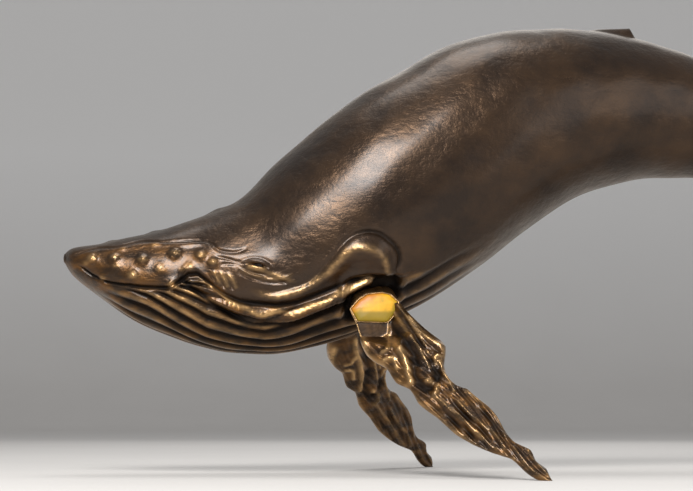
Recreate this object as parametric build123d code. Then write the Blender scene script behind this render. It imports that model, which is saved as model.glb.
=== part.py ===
from build123d import *
import math
import os

os.makedirs("parts", exist_ok=True)

# Driving sizes of the whale as it stands. X runs from beak to tail, Y across, Z up from the floor.
body_length = 556 * MM
back_height = 299 * MM
chest_width = 130 * MM

# Sizes of the hollow casting and of its fits
casting_wall = 4.5 * MM
fit_gap = 0.3 * MM
overrun = 60 * MM

# Body rows as shares, from beak to tail: back x and z, belly x and z, half width, height of the widest place,
# then the fullness of the upper and of the lower half, where 2 is a plain ellipse.
# The x shares are of body_length, the z shares of back_height and the widths of half of chest_width.
body_row_shares = [
    (0.000, 0.475, 0.000, 0.455, 0.046, 0.50, 2.0, 2.0),
    (0.003, 0.481, 0.004, 0.442, 0.123, 0.50, 2.0, 2.0),
    (0.015, 0.490, 0.016, 0.417, 0.238, 0.50, 2.1, 2.0),
    (0.037, 0.496, 0.041, 0.382, 0.362, 0.48, 2.2, 2.0),
    (0.066, 0.509, 0.073, 0.340, 0.469, 0.46, 2.2, 2.0),
    (0.102, 0.524, 0.113, 0.305, 0.562, 0.44, 2.2, 2.1),
    (0.140, 0.548, 0.156, 0.278, 0.638, 0.43, 2.1, 2.2),
    (0.177, 0.574, 0.199, 0.263, 0.708, 0.43, 2.1, 2.2),
    (0.206, 0.604, 0.238, 0.261, 0.762, 0.44, 2.0, 2.2),
    (0.238, 0.666, 0.282, 0.272, 0.831, 0.46, 2.0, 2.2),
    (0.276, 0.730, 0.328, 0.296, 0.908, 0.48, 2.0, 2.2),
    (0.312, 0.788, 0.375, 0.330, 0.962, 0.49, 2.1, 2.1),
    (0.354, 0.846, 0.422, 0.373, 0.992, 0.50, 2.1, 2.1),
    (0.397, 0.894, 0.469, 0.427, 1.000, 0.50, 2.1, 2.1),
    (0.447, 0.948, 0.520, 0.497, 0.977, 0.50, 2.1, 2.1),
    (0.503, 0.983, 0.573, 0.572, 0.923, 0.50, 2.1, 2.0),
    (0.560, 0.999, 0.623, 0.625, 0.846, 0.50, 2.0, 2.0),
    (0.620, 1.002, 0.670, 0.654, 0.754, 0.50, 2.0, 2.0),
    (0.677, 0.990, 0.710, 0.667, 0.669, 0.50, 2.0, 2.0),
    (0.728, 0.969, 0.742, 0.670, 0.600, 0.50, 2.0, 2.0),
    (0.774, 0.942, 0.771, 0.670, 0.538, 0.50, 2.0, 2.0),
    (0.853, 0.883, 0.797, 0.662, 0.469, 0.50, 2.0, 2.0),
    (0.910, 0.789, 0.833, 0.635, 0.385, 0.50, 2.0, 2.0),
    (0.949, 0.668, 0.870, 0.576, 0.300, 0.50, 2.0, 2.0),
    (0.971, 0.536, 0.902, 0.487, 0.223, 0.50, 2.0, 2.0),
    (0.980, 0.408, 0.928, 0.382, 0.169, 0.50, 2.0, 2.0),
    (0.986, 0.292, 0.947, 0.277, 0.146, 0.50, 2.0, 2.0),
]

# Throat pleats: how many on each side, their depth, and the angle from the belly that they fill
pleats_each_side = 8
pleat_depth = 1.7 * MM
pleat_spread = math.radians(97)
# Share of the body's own length, with how strongly the pleats crowd towards the lips there
pleat_crowding_shares = [(0.078, 3.0), (0.090, 2.7), (0.107, 2.15), (0.132, 1.5), (0.158, 1.2), (0.183, 1.0)]
# Share of the body's own length, with the share of the full depth there
pleat_fade_shares = [(0.030, 0.0), (0.070, 1.0), (0.215, 1.0), (0.253, 0.15)]
pleat_lip_fade = math.radians(8)
points_per_pleat = 2
upper_points = 5

# Mouth line: share of the body's own length, then share of the section's height above the belly
mouth_line_shares = [
    (0.013, 0.40), (0.030, 0.30), (0.062, 0.37), (0.098, 0.41), (0.110, 0.49), (0.120, 0.56), (0.128, 0.55),
    (0.140, 0.45), (0.155, 0.35), (0.179, 0.30), (0.216, 0.25), (0.253, 0.248), (0.270, 0.25), (0.300, 0.22),
]
mouth_front_share = 0.013
mouth_turn_share = 0.030
throat_seam_share = 0.253
throat_mouth_points = 10

# Raised folds along the mouth: share of the length, share of the height, size as a share of the fold
lip_fold_shares = [
    (0.160, 0.46, 0.3), (0.172, 0.39, 0.8), (0.198, 0.325, 1.0), (0.226, 0.312, 1.0), (0.250, 0.340, 1.1),
    (0.272, 0.380, 1.1), (0.290, 0.365, 0.5),
]
lip_fold_half = 5.2 * MM
lip_fold_proud = 3.4 * MM
lower_lip_shares = [
    (0.118, 0.53, 0.4), (0.133, 0.430, 0.9), (0.155, 0.295, 1.0), (0.176, 0.225, 1.0), (0.205, 0.193, 1.0),
    (0.245, 0.190, 1.0), (0.284, 0.20, 0.4),
]
lower_lip_half = 4.0 * MM
lower_lip_proud = 2.6 * MM
# The rounded lobe that ends the lip above the shoulder
lobe_place_share = 0.289
lobe_height_share = 0.315
lobe_long = 14 * MM
lobe_tall = 11.5 * MM
lobe_proud = 4.2 * MM

# Knobs on the snout: share of the length, share of the height, size as a share of the knob
knob_shares = [
    (0.026, 0.643, 0.9), (0.049, 0.708, 1.0), (0.076, 0.692, 1.1), (0.108, 0.732, 1.1), (0.065, 0.493, 1.1),
    (0.102, 0.453, 1.1),
]
knob_radius = 3.6 * MM
knob_proud = 2.2 * MM

# Mounds: share of the height, then of the width
mound_shares = [(-1.0, 1.0), (0.0, 0.97), (0.6, 0.75), (1.0, 0.36)]
mound_sides = 10
knob_sides = 8
fold_sides = 6
skin_step_share = 0.004

# Eyes: a bead in a bored socket inside a raised pair of lids
eye_place_share = 0.184
eye_height_share = 0.534
eye_radius = 3.4 * MM
eye_rim = 2.2 * MM
eye_dome = 1.2 * MM
eye_front_share = 0.5
eye_socket_depth = 4.6 * MM
lid_long = 12 * MM
lid_tall = 6.5 * MM
lid_proud = 2.6 * MM

# Dorsal fin: a low ramp with a steep rear step
dorsal_place_share = 0.603
dorsal_root_depth = 8 * MM
dorsal_base_long = 44 * MM
dorsal_base_wide = 16 * MM
dorsal_tip_set_back = 5.5 * MM
dorsal_tip_long = 21 * MM
dorsal_tip_wide = 4.5 * MM
dorsal_rise = 3.2 * MM

# Sections of the skin, as shares of the own length of the body: the blunt nose, the snout, then evenly
nose_shares = [0.000, 0.004, 0.015]
snout_shares = [0.015, 0.035, 0.062, 0.095]
snout_end_share = 0.130
body_sections = 16
throat_front_shares = [0.015, 0.040]
throat_even_share = 0.070
throat_past_share = 0.262
throat_sections = 5
skin_sides = 24
nose_draw = 1.5 * MM

# Cross seams of the body, as shares of its own length, and the sleeves inside them
front_seam_share = 0.360
rear_seam_share = 0.668
# Sections of the hollow between the seams
head_hollow_shares = [0.025, 0.070, 0.140, 0.220, 0.290]
back_hollow_shares = [0.430, 0.510, 0.590]
tail_hollow_shares = [0.715, 0.758]
hollow_sides = 12
sleeve_length = 24 * MM
sleeve_wall = 4 * MM
press_gap = 0.1 * MM
throat_dowel_diameter = 2 * MM
throat_dowel_length = 12 * MM
throat_dowel_angle = 30
throat_dowel_depth = 3.1 * MM

# Shoulder: a flat seat on the flank, and the fin's faceted block that stands on it
seat_place_share = 0.289
seat_height_share = 0.12
seat_sink = 3 * MM
seat_width = 27 * MM
seat_tall = 20 * MM
shoulder_gap = 2.4 * MM
boss_radius = 17 * MM
boss_depth = 9 * MM
# Outer face of the block, from the seat: along the body, outwards and down
block_ahead = -1.7 * MM
block_out = 21.6 * MM
block_down = 11.8 * MM
block_width = 32 * MM
block_tall = 31 * MM
block_face_tilt = 11.5
block_face_sweep = 7
# Corners of the outer face and of the seat that meet them, as shares of the width and the height
block_corner_shares = [
    (-0.50, 0.14), (-0.34, 0.33), (-0.16, 0.46), (0.15, 0.50), (0.33, 0.46), (0.50, 0.29), (0.46, 0.08),
    (0.28, -0.15), (0.26, -0.40), (0.08, -0.50), (-0.28, -0.48), (-0.36, -0.19),
]
seat_corner_shares = [
    (-0.50, 0.10), (-0.46, 0.34), (-0.28, 0.50), (0.08, 0.50), (0.34, 0.50), (0.50, 0.32), (0.50, 0.02),
    (0.50, -0.24), (0.32, -0.50), (0.08, -0.50), (-0.28, -0.50), (-0.50, -0.24),
]
# The yellow cap takes the upper corners of the outer face
inlay_corner_count = 8
inlay_sill_shares = [(0.20, -0.16), (-0.36, -0.14)]
inlay_depth = 5 * MM
inlay_dome = 1.8 * MM
inlay_bevel = 7 * MM
inlay_rim = 0.9 * MM
inlay_glue_gap = 0.15 * MM

# Fin blade: its axis starts beside the seat and ends on the floor
blade_ahead = 1.7 * MM
blade_out = 11.6 * MM
blade_down = 2.3 * MM
tip_ahead = 82.2 * MM
tip_out = 117.6 * MM
blade_chord_rise = 36.7
# Share along the axis, leading edge, trailing edge and thickness as shares of blade_chord
blade_rows_shares = [
    (-0.01, -0.44, 0.22, 0.340),
    (0.080, -0.60, 0.27, 0.380),
    (0.150, -0.71, 0.27, 0.360),
    (0.260, -0.64, 0.32, 0.310),
    (0.360, -0.62, 0.20, 0.280),
    (0.440, -0.63, 0.01, 0.260),
    (0.540, -0.58, 0.09, 0.230),
    (0.660, -0.51, 0.13, 0.200),
    (0.785, -0.32, 0.06, 0.165),
    (0.880, -0.17, 0.10, 0.140),
    (1.040, -0.07, 0.07, 0.090),
]
blade_chord = 39 * MM
blade_sides = 8

# Fin fixing: a stud and a dowel in the seat, with a nut inside the body
stud_diameter = 8 * MM
stud_in_block = 15 * MM
stud_hole_gap = 0.25 * MM
nut_across_flats = 13 * MM
nut_height = 6.5 * MM
nut_sides = 6
stud_beyond_nut = 2 * MM
dowel_diameter = 4 * MM
dowel_half_length = 6 * MM
dowel_offset = 9.5 * MM

# Flukes: a lens-like plate that hangs from the tail and rests on the floor at its two tips
fluke_span = 200 * MM
# Share of half the span, leading and trailing edge as shares of the drop to the floor,
# then thickness as a share of fluke_thickness
fluke_row_shares = [
    (0.00, 0.10, 0.66, 1.00), (0.20, 0.22, 0.75, 0.88), (0.44, 0.41, 0.81, 0.67), (0.68, 0.60, 0.85, 0.46),
    (0.86, 0.79, 0.95, 0.33), (0.98, 0.95, 1.035, 0.24),
]
fluke_thickness = 13 * MM
fluke_sides = 8
neck_sides = 12
neck_length = 34 * MM
neck_half_width = 19 * MM
neck_half_thickness = 4.5 * MM
tenon_diameter = 10 * MM
tenon_length = 20 * MM
fluke_pin_diameter = 3 * MM
fluke_pin_place = 11 * MM
fluke_pin_cover = 1.2 * MM


def curve_through(places, values):
    """A natural cubic through the values: find the second derivative at each place, then read it anywhere."""
    count = len(places)
    gaps = [places[i + 1] - places[i] for i in range(count - 1)]
    bends = [0.0] * count
    ahead = [0.0] * count
    for i in range(1, count - 1):
        slope_after = (values[i + 1] - values[i]) / gaps[i]
        slope_before = (values[i] - values[i - 1]) / gaps[i - 1]
        pivot = 2 * (gaps[i - 1] + gaps[i]) - gaps[i - 1] * ahead[i - 1]
        ahead[i] = gaps[i] / pivot
        bends[i] = (6 * (slope_after - slope_before) - gaps[i - 1] * bends[i - 1]) / pivot
    for i in range(count - 2, 0, -1):
        bends[i] -= ahead[i] * bends[i + 1]

    def read(place):
        i = min(sum(1 for p in places[1:-1] if p <= place), count - 2)
        a = (places[i + 1] - place) / gaps[i]
        b = 1 - a
        curved = ((a**3 - a) * bends[i] + (b**3 - b) * bends[i + 1]) * gaps[i] ** 2 / 6
        return a * values[i] + b * values[i + 1] + curved

    return read


def read_between(rows, place):
    """Straight lines between the rows, held level past both ends."""
    if place <= rows[0][0]:
        return rows[0][1]
    for low, high in zip(rows, rows[1:]):
        if place <= high[0]:
            return low[1] + (high[1] - low[1]) * (place - low[0]) / (high[0] - low[0])
    return rows[-1][1]


def row_sizes(row):
    """One body row in mm, with its beak end at X = 0."""
    back_x, back_z, belly_x, belly_z, half_width, widest, upper, lower = row
    return (
        back_x * body_length,
        back_z * back_height,
        belly_x * body_length,
        belly_z * back_height,
        half_width * chest_width / 2,
        widest,
        upper,
        lower,
    )


body_rows = [row_sizes(row) for row in body_row_shares]
row_middles = [Vector((row[0] + row[2]) / 2, 0, (row[1] + row[3]) / 2) for row in body_rows]
row_places = [0.0]
for before, after in zip(row_middles, row_middles[1:]):
    row_places.append(row_places[-1] + (after - before).length)
own_length = row_places[-1]
body_curves = [curve_through(row_places, column) for column in zip(*body_rows)]


class Section:
    """One section of the body: a plane across it, and an upper and a lower half of an oval outline."""

    def __init__(self, share, inset=0):
        back_x, back_z, belly_x, belly_z, half, widest, upper, lower = [
            curve(share * own_length) for curve in body_curves
        ]
        self.share = share
        self.belly = Vector(belly_x, 0, belly_z)
        rise = Vector(back_x, 0, back_z) - self.belly
        self.tall = rise.length
        self.up = rise.normalized()
        self.ahead = Vector(self.up.Z, 0, -self.up.X)
        self.centre = self.belly + rise * widest
        self.above = self.tall * (1 - widest) - inset
        self.below = self.tall * widest - inset
        self.half = half - inset
        self.upper = upper
        self.lower = lower

    def height_and_fullness(self, angle):
        """The half height and the fullness that hold at this angle from the belly."""
        if math.cos(angle) > 0:
            return self.below, self.lower
        return self.above, self.upper

    def radius(self, angle):
        """Reach of the outline from the section's centre."""
        height, fullness = self.height_and_fullness(angle)
        across = abs(math.sin(angle) / self.half) ** fullness
        along = abs(math.cos(angle) / height) ** fullness
        return (across + along) ** (-1 / fullness)

    def point(self, angle, cut=0):
        """A point of the outline. The angle starts at the belly and grows up the left side."""
        reach = self.radius(angle) - cut
        side = Vector(0, -1, 0) * (reach * math.sin(angle))
        return self.centre + side - self.up * (reach * math.cos(angle))

    def angle_at(self, height_share):
        """The angle at which the outline passes a share of the section's height."""
        rise = height_share * self.tall - (self.centre - self.belly).length
        height, fullness = (self.above, self.upper) if rise > 0 else (self.below, self.lower)
        rise_share = max(-1, min(1, rise / height))
        side = self.half * (1 - abs(rise_share) ** fullness) ** (1 / fullness)
        return math.atan2(side, -rise_share * height)

    def outward(self, angle):
        """The outline's normal at an angle."""
        height, fullness = self.height_and_fullness(angle)
        reach = self.radius(angle)
        side = abs(reach * math.sin(angle) / self.half) ** (fullness - 1) / self.half
        rise = abs(reach * math.cos(angle) / height) ** (fullness - 1) / height
        away = Vector(0, -1, 0) * math.copysign(side, math.sin(angle)) - self.up * math.copysign(
            rise, math.cos(angle)
        )
        return away.normalized()


def mouth_angle(share):
    """Angle from the belly at which the mouth line crosses a section."""
    return Section(share).angle_at(read_between(mouth_line_shares, share))


def pleat_angle(share, pleat):
    """Angle of a pleat line from the belly. Near the chin the lines crowd towards the lips."""
    crowding = read_between(pleat_crowding_shares, share)
    return pleat_spread * (1 - (1 - pleat / pleats_each_side) ** crowding)


def pleat_cut(share, pleat, angle):
    """Depth of the pleats: a cosine across them, faded along the body and below the lips."""
    below_lip = max(0, min(1, (mouth_angle(share) - angle) / pleat_lip_fade))
    wave = (1 + math.cos(2 * math.pi * pleat)) / 2
    return pleat_depth * wave * below_lip * read_between(pleat_fade_shares, share)


def ring(points):
    """A closed ring of straight sides. A loft through such rings runs smoothly along the body."""
    return Wire([Edge.make_line(a, b) for a, b in zip(points, points[1:] + points[:1])])


pleat_steps = [
    step / points_per_pleat
    for step in range(-pleats_each_side * points_per_pleat, pleats_each_side * points_per_pleat + 1)
]
upper_spread = 2 * math.pi - 2 * pleat_spread
upper_angles = [pleat_spread + upper_spread * (i + 1) / (upper_points + 1) for i in range(upper_points)]


def pleated_outline(share):
    """Outline of the throat with its pleats."""
    section = Section(share)
    points = []
    for pleat in pleat_steps:
        angle = pleat_angle(share, abs(pleat))
        cut = pleat_cut(share, abs(pleat), angle)
        points.append(section.point(math.copysign(angle, pleat), cut))
    return ring(points + [section.point(angle) for angle in upper_angles])


def plain_outline(share, inset=0, sides=skin_sides):
    """Outline an even distance under the smooth skin."""
    section = Section(share, inset)
    return ring([section.point(2 * math.pi * i / sides) for i in range(sides)])


def spread_between(first, last, count):
    """Evenly spaced shares from the first up to, but not with, the last."""
    return [first + (last - first) * i / count for i in range(count)]


form_shares = snout_shares + spread_between(snout_end_share, 1, body_sections) + [1]
throat_even_shares = spread_between(throat_even_share, throat_past_share, throat_sections)
throat_form_shares = throat_front_shares + throat_even_shares + [throat_past_share]


def hollow_outline(share, inset, way=0):
    """Outline of the hollow at a depth under the skin, slid a way towards the tail from its section."""
    return plain_outline(share, inset, hollow_sides).moved(Location(Section(share).ahead * way))


def hollow_form(inset):
    """The hollow of the castings. It runs straight through both seams, so that a sleeve slides in."""
    rings = [hollow_outline(share, inset) for share in head_hollow_shares]
    rings += [hollow_outline(front_seam_share, inset, way) for way in (-sleeve_length / 2, sleeve_length / 2)]
    rings += [hollow_outline(share, inset) for share in back_hollow_shares]
    rings += [hollow_outline(rear_seam_share, inset, way) for way in (-sleeve_length / 2, sleeve_length / 2)]
    rings += [hollow_outline(share, inset) for share in tail_hollow_shares]
    return Solid.make_loft(rings, True)


def seam_plane(share):
    """Plane across the body, facing the tail."""
    section = Section(share)
    return Plane(origin=section.centre, x_dir=(0, 1, 0), z_dir=section.ahead)


def ahead_of(shape, share):
    return split(shape, bisect_by=seam_plane(share), keep=Keep.BOTTOM)


def behind(shape, share):
    return split(shape, bisect_by=seam_plane(share), keep=Keep.TOP)


def skin_place(share, height_share):
    """Point and outward normal on the left flank."""
    section = Section(share)
    angle = section.angle_at(height_share)
    return section.point(angle), section.outward(angle)


def along_skin(share, height_share):
    """Direction along the body on the left flank."""
    after = skin_place(share + skin_step_share, height_share)[0]
    before = skin_place(share - skin_step_share, height_share)[0]
    return (after - before).normalized()


def mirrored(shape):
    return mirror(shape, about=Plane.XZ)


def both_sides(shape):
    return [shape, mirrored(shape)]


def joined(shape, pieces):
    """The shape with the pieces fused on."""
    return shape.fuse(*pieces)


def rod(start, direction, length, diameter):
    """A round rod from a point along a direction."""
    return Solid.make_cylinder(diameter / 2, length, Plane(origin=start, z_dir=direction))


def oval(plane, half_x, half_y, sides):
    """An oval ring on a plane, with a corner at each end of its x way."""
    corners = []
    for i in range(sides):
        angle = 2 * math.pi * i / sides
        corners.append(plane.from_local_coords(Vector(half_x * math.cos(angle), half_y * math.sin(angle))))
    return ring(corners)


def fold(shares, half, proud):
    """A raised fold: ovals carried along a line on the skin, half sunk into it."""
    points = [skin_place(share, height_share) for share, height_share, _ in shares]
    rings = []
    for i, (point, out) in enumerate(points):
        before = points[max(i - 1, 0)][0]
        after = points[min(i + 1, len(points) - 1)][0]
        size = shares[i][2]
        plane = Plane(origin=point, x_dir=out, z_dir=(after - before).normalized())
        rings.append(oval(plane, proud * size, half * size, fold_sides))
    return Solid.make_loft(rings)


def mound(point, out, along, long_half, tall_half, proud, sides=mound_sides):
    """A rounded mound on the skin: ovals that shrink as they rise."""
    rings = []
    for height_share, size_share in mound_shares:
        plane = Plane(origin=point + out * (proud * height_share), x_dir=along, z_dir=out)
        rings.append(oval(plane, long_half * size_share, tall_half * size_share, sides))
    return Solid.make_loft(rings, True)


# The smooth skin of the whole body, from the beak to the root of the flukes. The blunt nose is lofted apart.
nose = Section(0)


def nose_form(outline):
    """The nose, from its drawn-in front end to the snout, through rings that an outline function gives."""
    return Solid.make_loft([nose_end] + [outline(share) for share in nose_shares], True)


nose_end = plain_outline(0, nose_draw).moved(Location(-nose.ahead * nose_draw))
skin = Solid.make_loft([plain_outline(share) for share in form_shares])
skin = skin.fuse(nose_form(plain_outline))
cavity = hollow_form(casting_wall)

# The mouth line as seen from the side, and the region under it that belongs to the throat
side_reach = chest_width
mouth_shares = [mouth_front_share]
mouth_shares += spread_between(mouth_turn_share, throat_seam_share, throat_mouth_points) + [throat_seam_share]
mouth_points = []
for share in mouth_shares:
    section = Section(share)
    mouth_points.append(section.point(mouth_angle(share)))
mouth_points = [Vector(point.X, -side_reach, point.Z) for point in mouth_points]
seam_section = Section(throat_seam_share)
seam_foot = seam_section.belly - seam_section.up * overrun
mouth_front = Vector(-overrun, -side_reach, mouth_points[0].Z)
region_corners = [Vector(seam_foot.X, -side_reach, seam_foot.Z), Vector(-overrun, -side_reach, seam_foot.Z)]
region_face = Face(ring([mouth_front] + mouth_points + region_corners))
throat_region = Solid.extrude(region_face, Vector(0, 2 * side_reach, 0))

# Folds and lips along the mouth, cut once and shared by the two castings that they cross
lower_lips = both_sides(fold(lower_lip_shares, lower_lip_half, lower_lip_proud))
upper_folds = both_sides(fold(lip_fold_shares, lip_fold_half, lip_fold_proud))

# Throat casting
throat_form = Solid.make_loft([pleated_outline(share) for share in throat_form_shares])
throat_nose = Solid.make_loft([pleated_outline(share) for share in nose_shares], True)
throat = joined(throat_form, [throat_nose] + lower_lips) & throat_region
throat = throat - cavity

# Head casting: the head and shoulders down to the mouth line
raised = upper_folds + lower_lips
for share, height_share, size in knob_shares:
    point, out = skin_place(share, height_share)
    along = along_skin(share, height_share)
    radius = knob_radius * size
    raised += both_sides(mound(point, out, along, radius, radius, knob_proud * size, knob_sides))
lobe_point, lobe_out = skin_place(lobe_place_share, lobe_height_share)
lobe_along = along_skin(lobe_place_share, lobe_height_share)
raised += both_sides(mound(lobe_point, lobe_out, lobe_along, lobe_long, lobe_tall, lobe_proud))
eye_point, eye_out = skin_place(eye_place_share, eye_height_share)
eye_along = along_skin(eye_place_share, eye_height_share)
raised += both_sides(mound(eye_point, eye_out, eye_along, lid_long, lid_tall, lid_proud))
head = joined(ahead_of(skin, front_seam_share), raised)

# Eyes: the socket is bored through the lids and the bead rests on its floor
lid_top = eye_point + eye_out * lid_proud
socket = rod(lid_top + eye_out * overrun, -eye_out, overrun + eye_socket_depth, 2 * (eye_radius + fit_gap))
eye_back = lid_top - eye_out * eye_socket_depth
eye_plane = Plane(origin=eye_back, z_dir=eye_out)
eye_front = Plane(origin=eye_back + eye_out * eye_rim, z_dir=eye_out)
eye = Solid.make_cylinder(eye_radius, eye_rim, eye_plane)
eye = eye.fuse(Solid.make_cone(eye_radius, eye_radius * eye_front_share, eye_dome, eye_front))


def corners_on(plane, shares, width, tall, grow=0):
    """Corners on a plane, as shares of a width and a height, pushed out from its middle by a margin."""
    points = []
    for across, up in shares:
        flat = Vector(across * width, up * tall)
        flat = flat + flat.normalized() * grow
        points.append(plane.from_local_coords(flat))
    return points


def outline_on(plane, shares, width, tall, grow=0):
    return ring(corners_on(plane, shares, width, tall, grow))


def moved(point, along, out, down):
    """A point of the left side, moved along the body, away from it and down."""
    return point + Vector(along, -out, -down)


# Shoulder seat: the floor of a pocket in the left flank, with a boss behind it inside the body
seat_skin, seat_out = skin_place(seat_place_share, seat_height_share)
seat_point = seat_skin - seat_out * seat_sink
seat_plane = Plane(origin=seat_point, x_dir=(1, 0, 0), z_dir=seat_out)
boss = rod(seat_point - seat_out * boss_depth, seat_out, boss_depth + overrun, 2 * boss_radius)
block_out_way = Vector(0, -1, 0).rotate(Axis.X, -block_face_tilt).rotate(Axis.Z, -block_face_sweep)
block_plane = Plane(
    origin=moved(seat_point, block_ahead, block_out, block_down),
    x_dir=Vector(1, 0, 0).rotate(Axis.Z, -block_face_sweep),
    z_dir=block_out_way,
)
block_foot = outline_on(seat_plane, seat_corner_shares, seat_width, seat_tall)
block_face = outline_on(block_plane, block_corner_shares, block_width, block_tall)
block = Solid.make_loft([block_foot, block_face], True)
pocket_foot = outline_on(seat_plane, seat_corner_shares, seat_width, seat_tall, shoulder_gap)
pocket_face = outline_on(block_plane, block_corner_shares, block_width, block_tall, shoulder_gap)
pocket = Solid.make_loft([pocket_foot, pocket_face], True)

# Fin blade: flat ellipses across its axis, cut off level with the floor
blade_start = moved(seat_point, blade_ahead, blade_out, blade_down)
blade_tip = moved(seat_point, tip_ahead, tip_out, seat_point.Z)
blade_axis = (blade_tip - blade_start).normalized()
blade_length = (blade_tip - blade_start).length
chord_flat = Vector(math.cos(math.radians(blade_chord_rise)), 0, math.sin(math.radians(blade_chord_rise)))
blade_chord_way = (chord_flat - blade_axis * chord_flat.dot(blade_axis)).normalized()
blade_wires = []
for place, lead, trail, thick in blade_rows_shares:
    middle = (lead + trail) / 2 * blade_chord
    origin = blade_start + blade_axis * (place * blade_length) + blade_chord_way * middle
    plane = Plane(origin=origin, x_dir=blade_chord_way, z_dir=blade_axis)
    half_chord = (trail - lead) / 2 * blade_chord
    blade_wires.append(oval(plane, half_chord, thick / 2 * blade_chord, blade_sides))
blade = Solid.make_loft(blade_wires)
fin = split(block.fuse(blade), bisect_by=Plane.XY, keep=Keep.TOP)

# Stud, dowel and nut of the left fin, with their holes
dowel_middle = seat_point + seat_plane.x_dir * dowel_offset
stud_length = stud_in_block + boss_depth + nut_height + stud_beyond_nut
stud_top = seat_point + seat_out * stud_in_block
stud = rod(stud_top, -seat_out, stud_length, stud_diameter)
stud_hole = rod(stud_top, -seat_out, stud_length + overrun, stud_diameter + 2 * stud_hole_gap)
dowel = rod(dowel_middle + seat_out * dowel_half_length, -seat_out, 2 * dowel_half_length, dowel_diameter)
dowel_hole_diameter = dowel_diameter + 2 * stud_hole_gap
dowel_hole = rod(
    dowel_middle + seat_out * dowel_half_length, -seat_out, 2 * dowel_half_length, dowel_hole_diameter
)
boss_back = seat_point - seat_out * boss_depth
nut_plane = Plane(origin=boss_back, x_dir=seat_plane.x_dir, z_dir=-seat_out)
nut_radius = nut_across_flats / math.sqrt(3)
nut = Solid.extrude(Face(oval(nut_plane, nut_radius, nut_radius, nut_sides)), nut_plane.z_dir * nut_height)
nut = nut - stud_hole
fin = fin - stud_hole - dowel_hole

# Yellow inlay: a domed slab seated in the upper part of the block's outer face
inlay_corners = block_corner_shares[:inlay_corner_count] + inlay_sill_shares
inlay_ring = corners_on(block_plane, inlay_corners, block_width, block_tall)
inlay_centre = sum(inlay_ring, Vector()) / len(inlay_ring)


def inlay_ring_at(margin, height):
    """The cap's outline, made smaller all round by a margin, at a height over the floor of its recess."""
    lift = block_out_way * (height - inlay_depth)
    size_share = 1 - 2 * margin / block_width
    return [inlay_centre + (corner - inlay_centre) * size_share + lift for corner in inlay_ring]


def flat_sided(outlines):
    """A solid with flat faces through outlines of the same form, one size after another."""
    faces = [Face(ring(outlines[0])), Face(ring(outlines[-1]))]
    for low, high in zip(outlines, outlines[1:]):
        faces += [Face(ring([low[i - 1], low[i], high[i], high[i - 1]])) for i in range(len(low))]
    return Solid(Shell(faces))


def inlay_slab(margin, height):
    return flat_sided([inlay_ring_at(margin, 0), inlay_ring_at(margin, height)])


fin = fin - inlay_slab(inlay_rim, inlay_depth + overrun)
inlay_edge = inlay_rim + inlay_glue_gap
inlay_levels = [(inlay_edge, 0), (inlay_edge, inlay_depth), (inlay_bevel, inlay_depth + inlay_dome)]
inlay = flat_sided([inlay_ring_at(margin, height) for margin, height in inlay_levels])

# Flukes: ellipses across the span, joined to a neck that meets the tail
tail_end = Section(1)
drop_way = tail_end.ahead
drop = tail_end.centre.Z / -drop_way.Z
fluke_wires = []
fluke_rows = [(-share, *rest) for share, *rest in reversed(fluke_row_shares[1:])] + fluke_row_shares
for side_share, lead, trail, thick in fluke_rows:
    middle = tail_end.centre + drop_way * (drop * (lead + trail) / 2)
    origin = Vector(middle.X, side_share * fluke_span / 2, middle.Z)
    plane = Plane(origin=origin, x_dir=drop_way, z_dir=(0, 1, 0))
    half_chord = (trail - lead) / 2 * drop
    fluke_wires.append(oval(plane, half_chord, thick / 2 * fluke_thickness, fluke_sides))
flukes = Solid.make_loft(fluke_wires)
neck_end = Plane(origin=tail_end.centre + drop_way * neck_length, x_dir=-tail_end.up, z_dir=drop_way)
neck_foot = oval(neck_end, neck_half_thickness, neck_half_width, neck_sides)
flukes = joined(flukes, [Solid.make_loft([plain_outline(1, 0, neck_sides), neck_foot], True)])
flukes = split(flukes, bisect_by=Plane.XY, keep=Keep.TOP)
tenon_root = tail_end.centre + drop_way * tenon_diameter
flukes = flukes.fuse(rod(tenon_root, -drop_way, tenon_length + tenon_diameter, tenon_diameter))


# Cross pin that holds the tenon in the tail
pin_section = Section(1 - fluke_pin_place / own_length)
pin_reach = pin_section.half - fluke_pin_cover
pin_start = pin_section.centre - Vector(0, pin_reach, 0)
fluke_pin = rod(pin_start, Vector(0, 1, 0), 2 * pin_reach, fluke_pin_diameter)
fluke_pin_hole = rod(pin_start, Vector(0, 1, 0), 2 * pin_reach, fluke_pin_diameter + 2 * press_gap)
tenon_mouth = tail_end.centre + drop_way * overrun
tenon_hole = rod(tenon_mouth, -drop_way, overrun + tenon_length + fit_gap, tenon_diameter + 2 * fit_gap)
flukes = flukes - fluke_pin_hole


def sleeve(seam_share):
    """A straight ring inside a seam, a fit gap clear of the castings."""
    way = Section(seam_share).ahead
    outer = hollow_outline(seam_share, casting_wall + fit_gap, -sleeve_length / 2)
    inner = hollow_outline(seam_share, casting_wall + fit_gap + sleeve_wall, -sleeve_length)
    bore = Solid.extrude(Face(inner), way * (2 * sleeve_length))
    return Solid.extrude(Face(outer), way * sleeve_length) - bore


def throat_dowels(gap):
    """Dowels across the seam behind the throat."""
    section = Section(throat_seam_share)
    point = section.point(math.radians(throat_dowel_angle), throat_dowel_depth)
    start = point - section.ahead * (throat_dowel_length / 2)
    return both_sides(rod(start, section.ahead, throat_dowel_length, throat_dowel_diameter + 2 * gap))


def cut_by(shape, tools):
    return shape.cut(*tools)


# Castings: each is cut from the skin, hollowed and drilled
dowel_holes = throat_dowels(press_gap)
shoulder_tools = both_sides(pocket) + both_sides(stud_hole) + both_sides(dowel_hole)
head_cavity = cut_by(cavity, both_sides(boss))
head = cut_by(head, [throat_region, head_cavity, *shoulder_tools, *both_sides(socket), *dowel_holes])
throat = cut_by(throat, both_sides(pocket) + dowel_holes)

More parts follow.
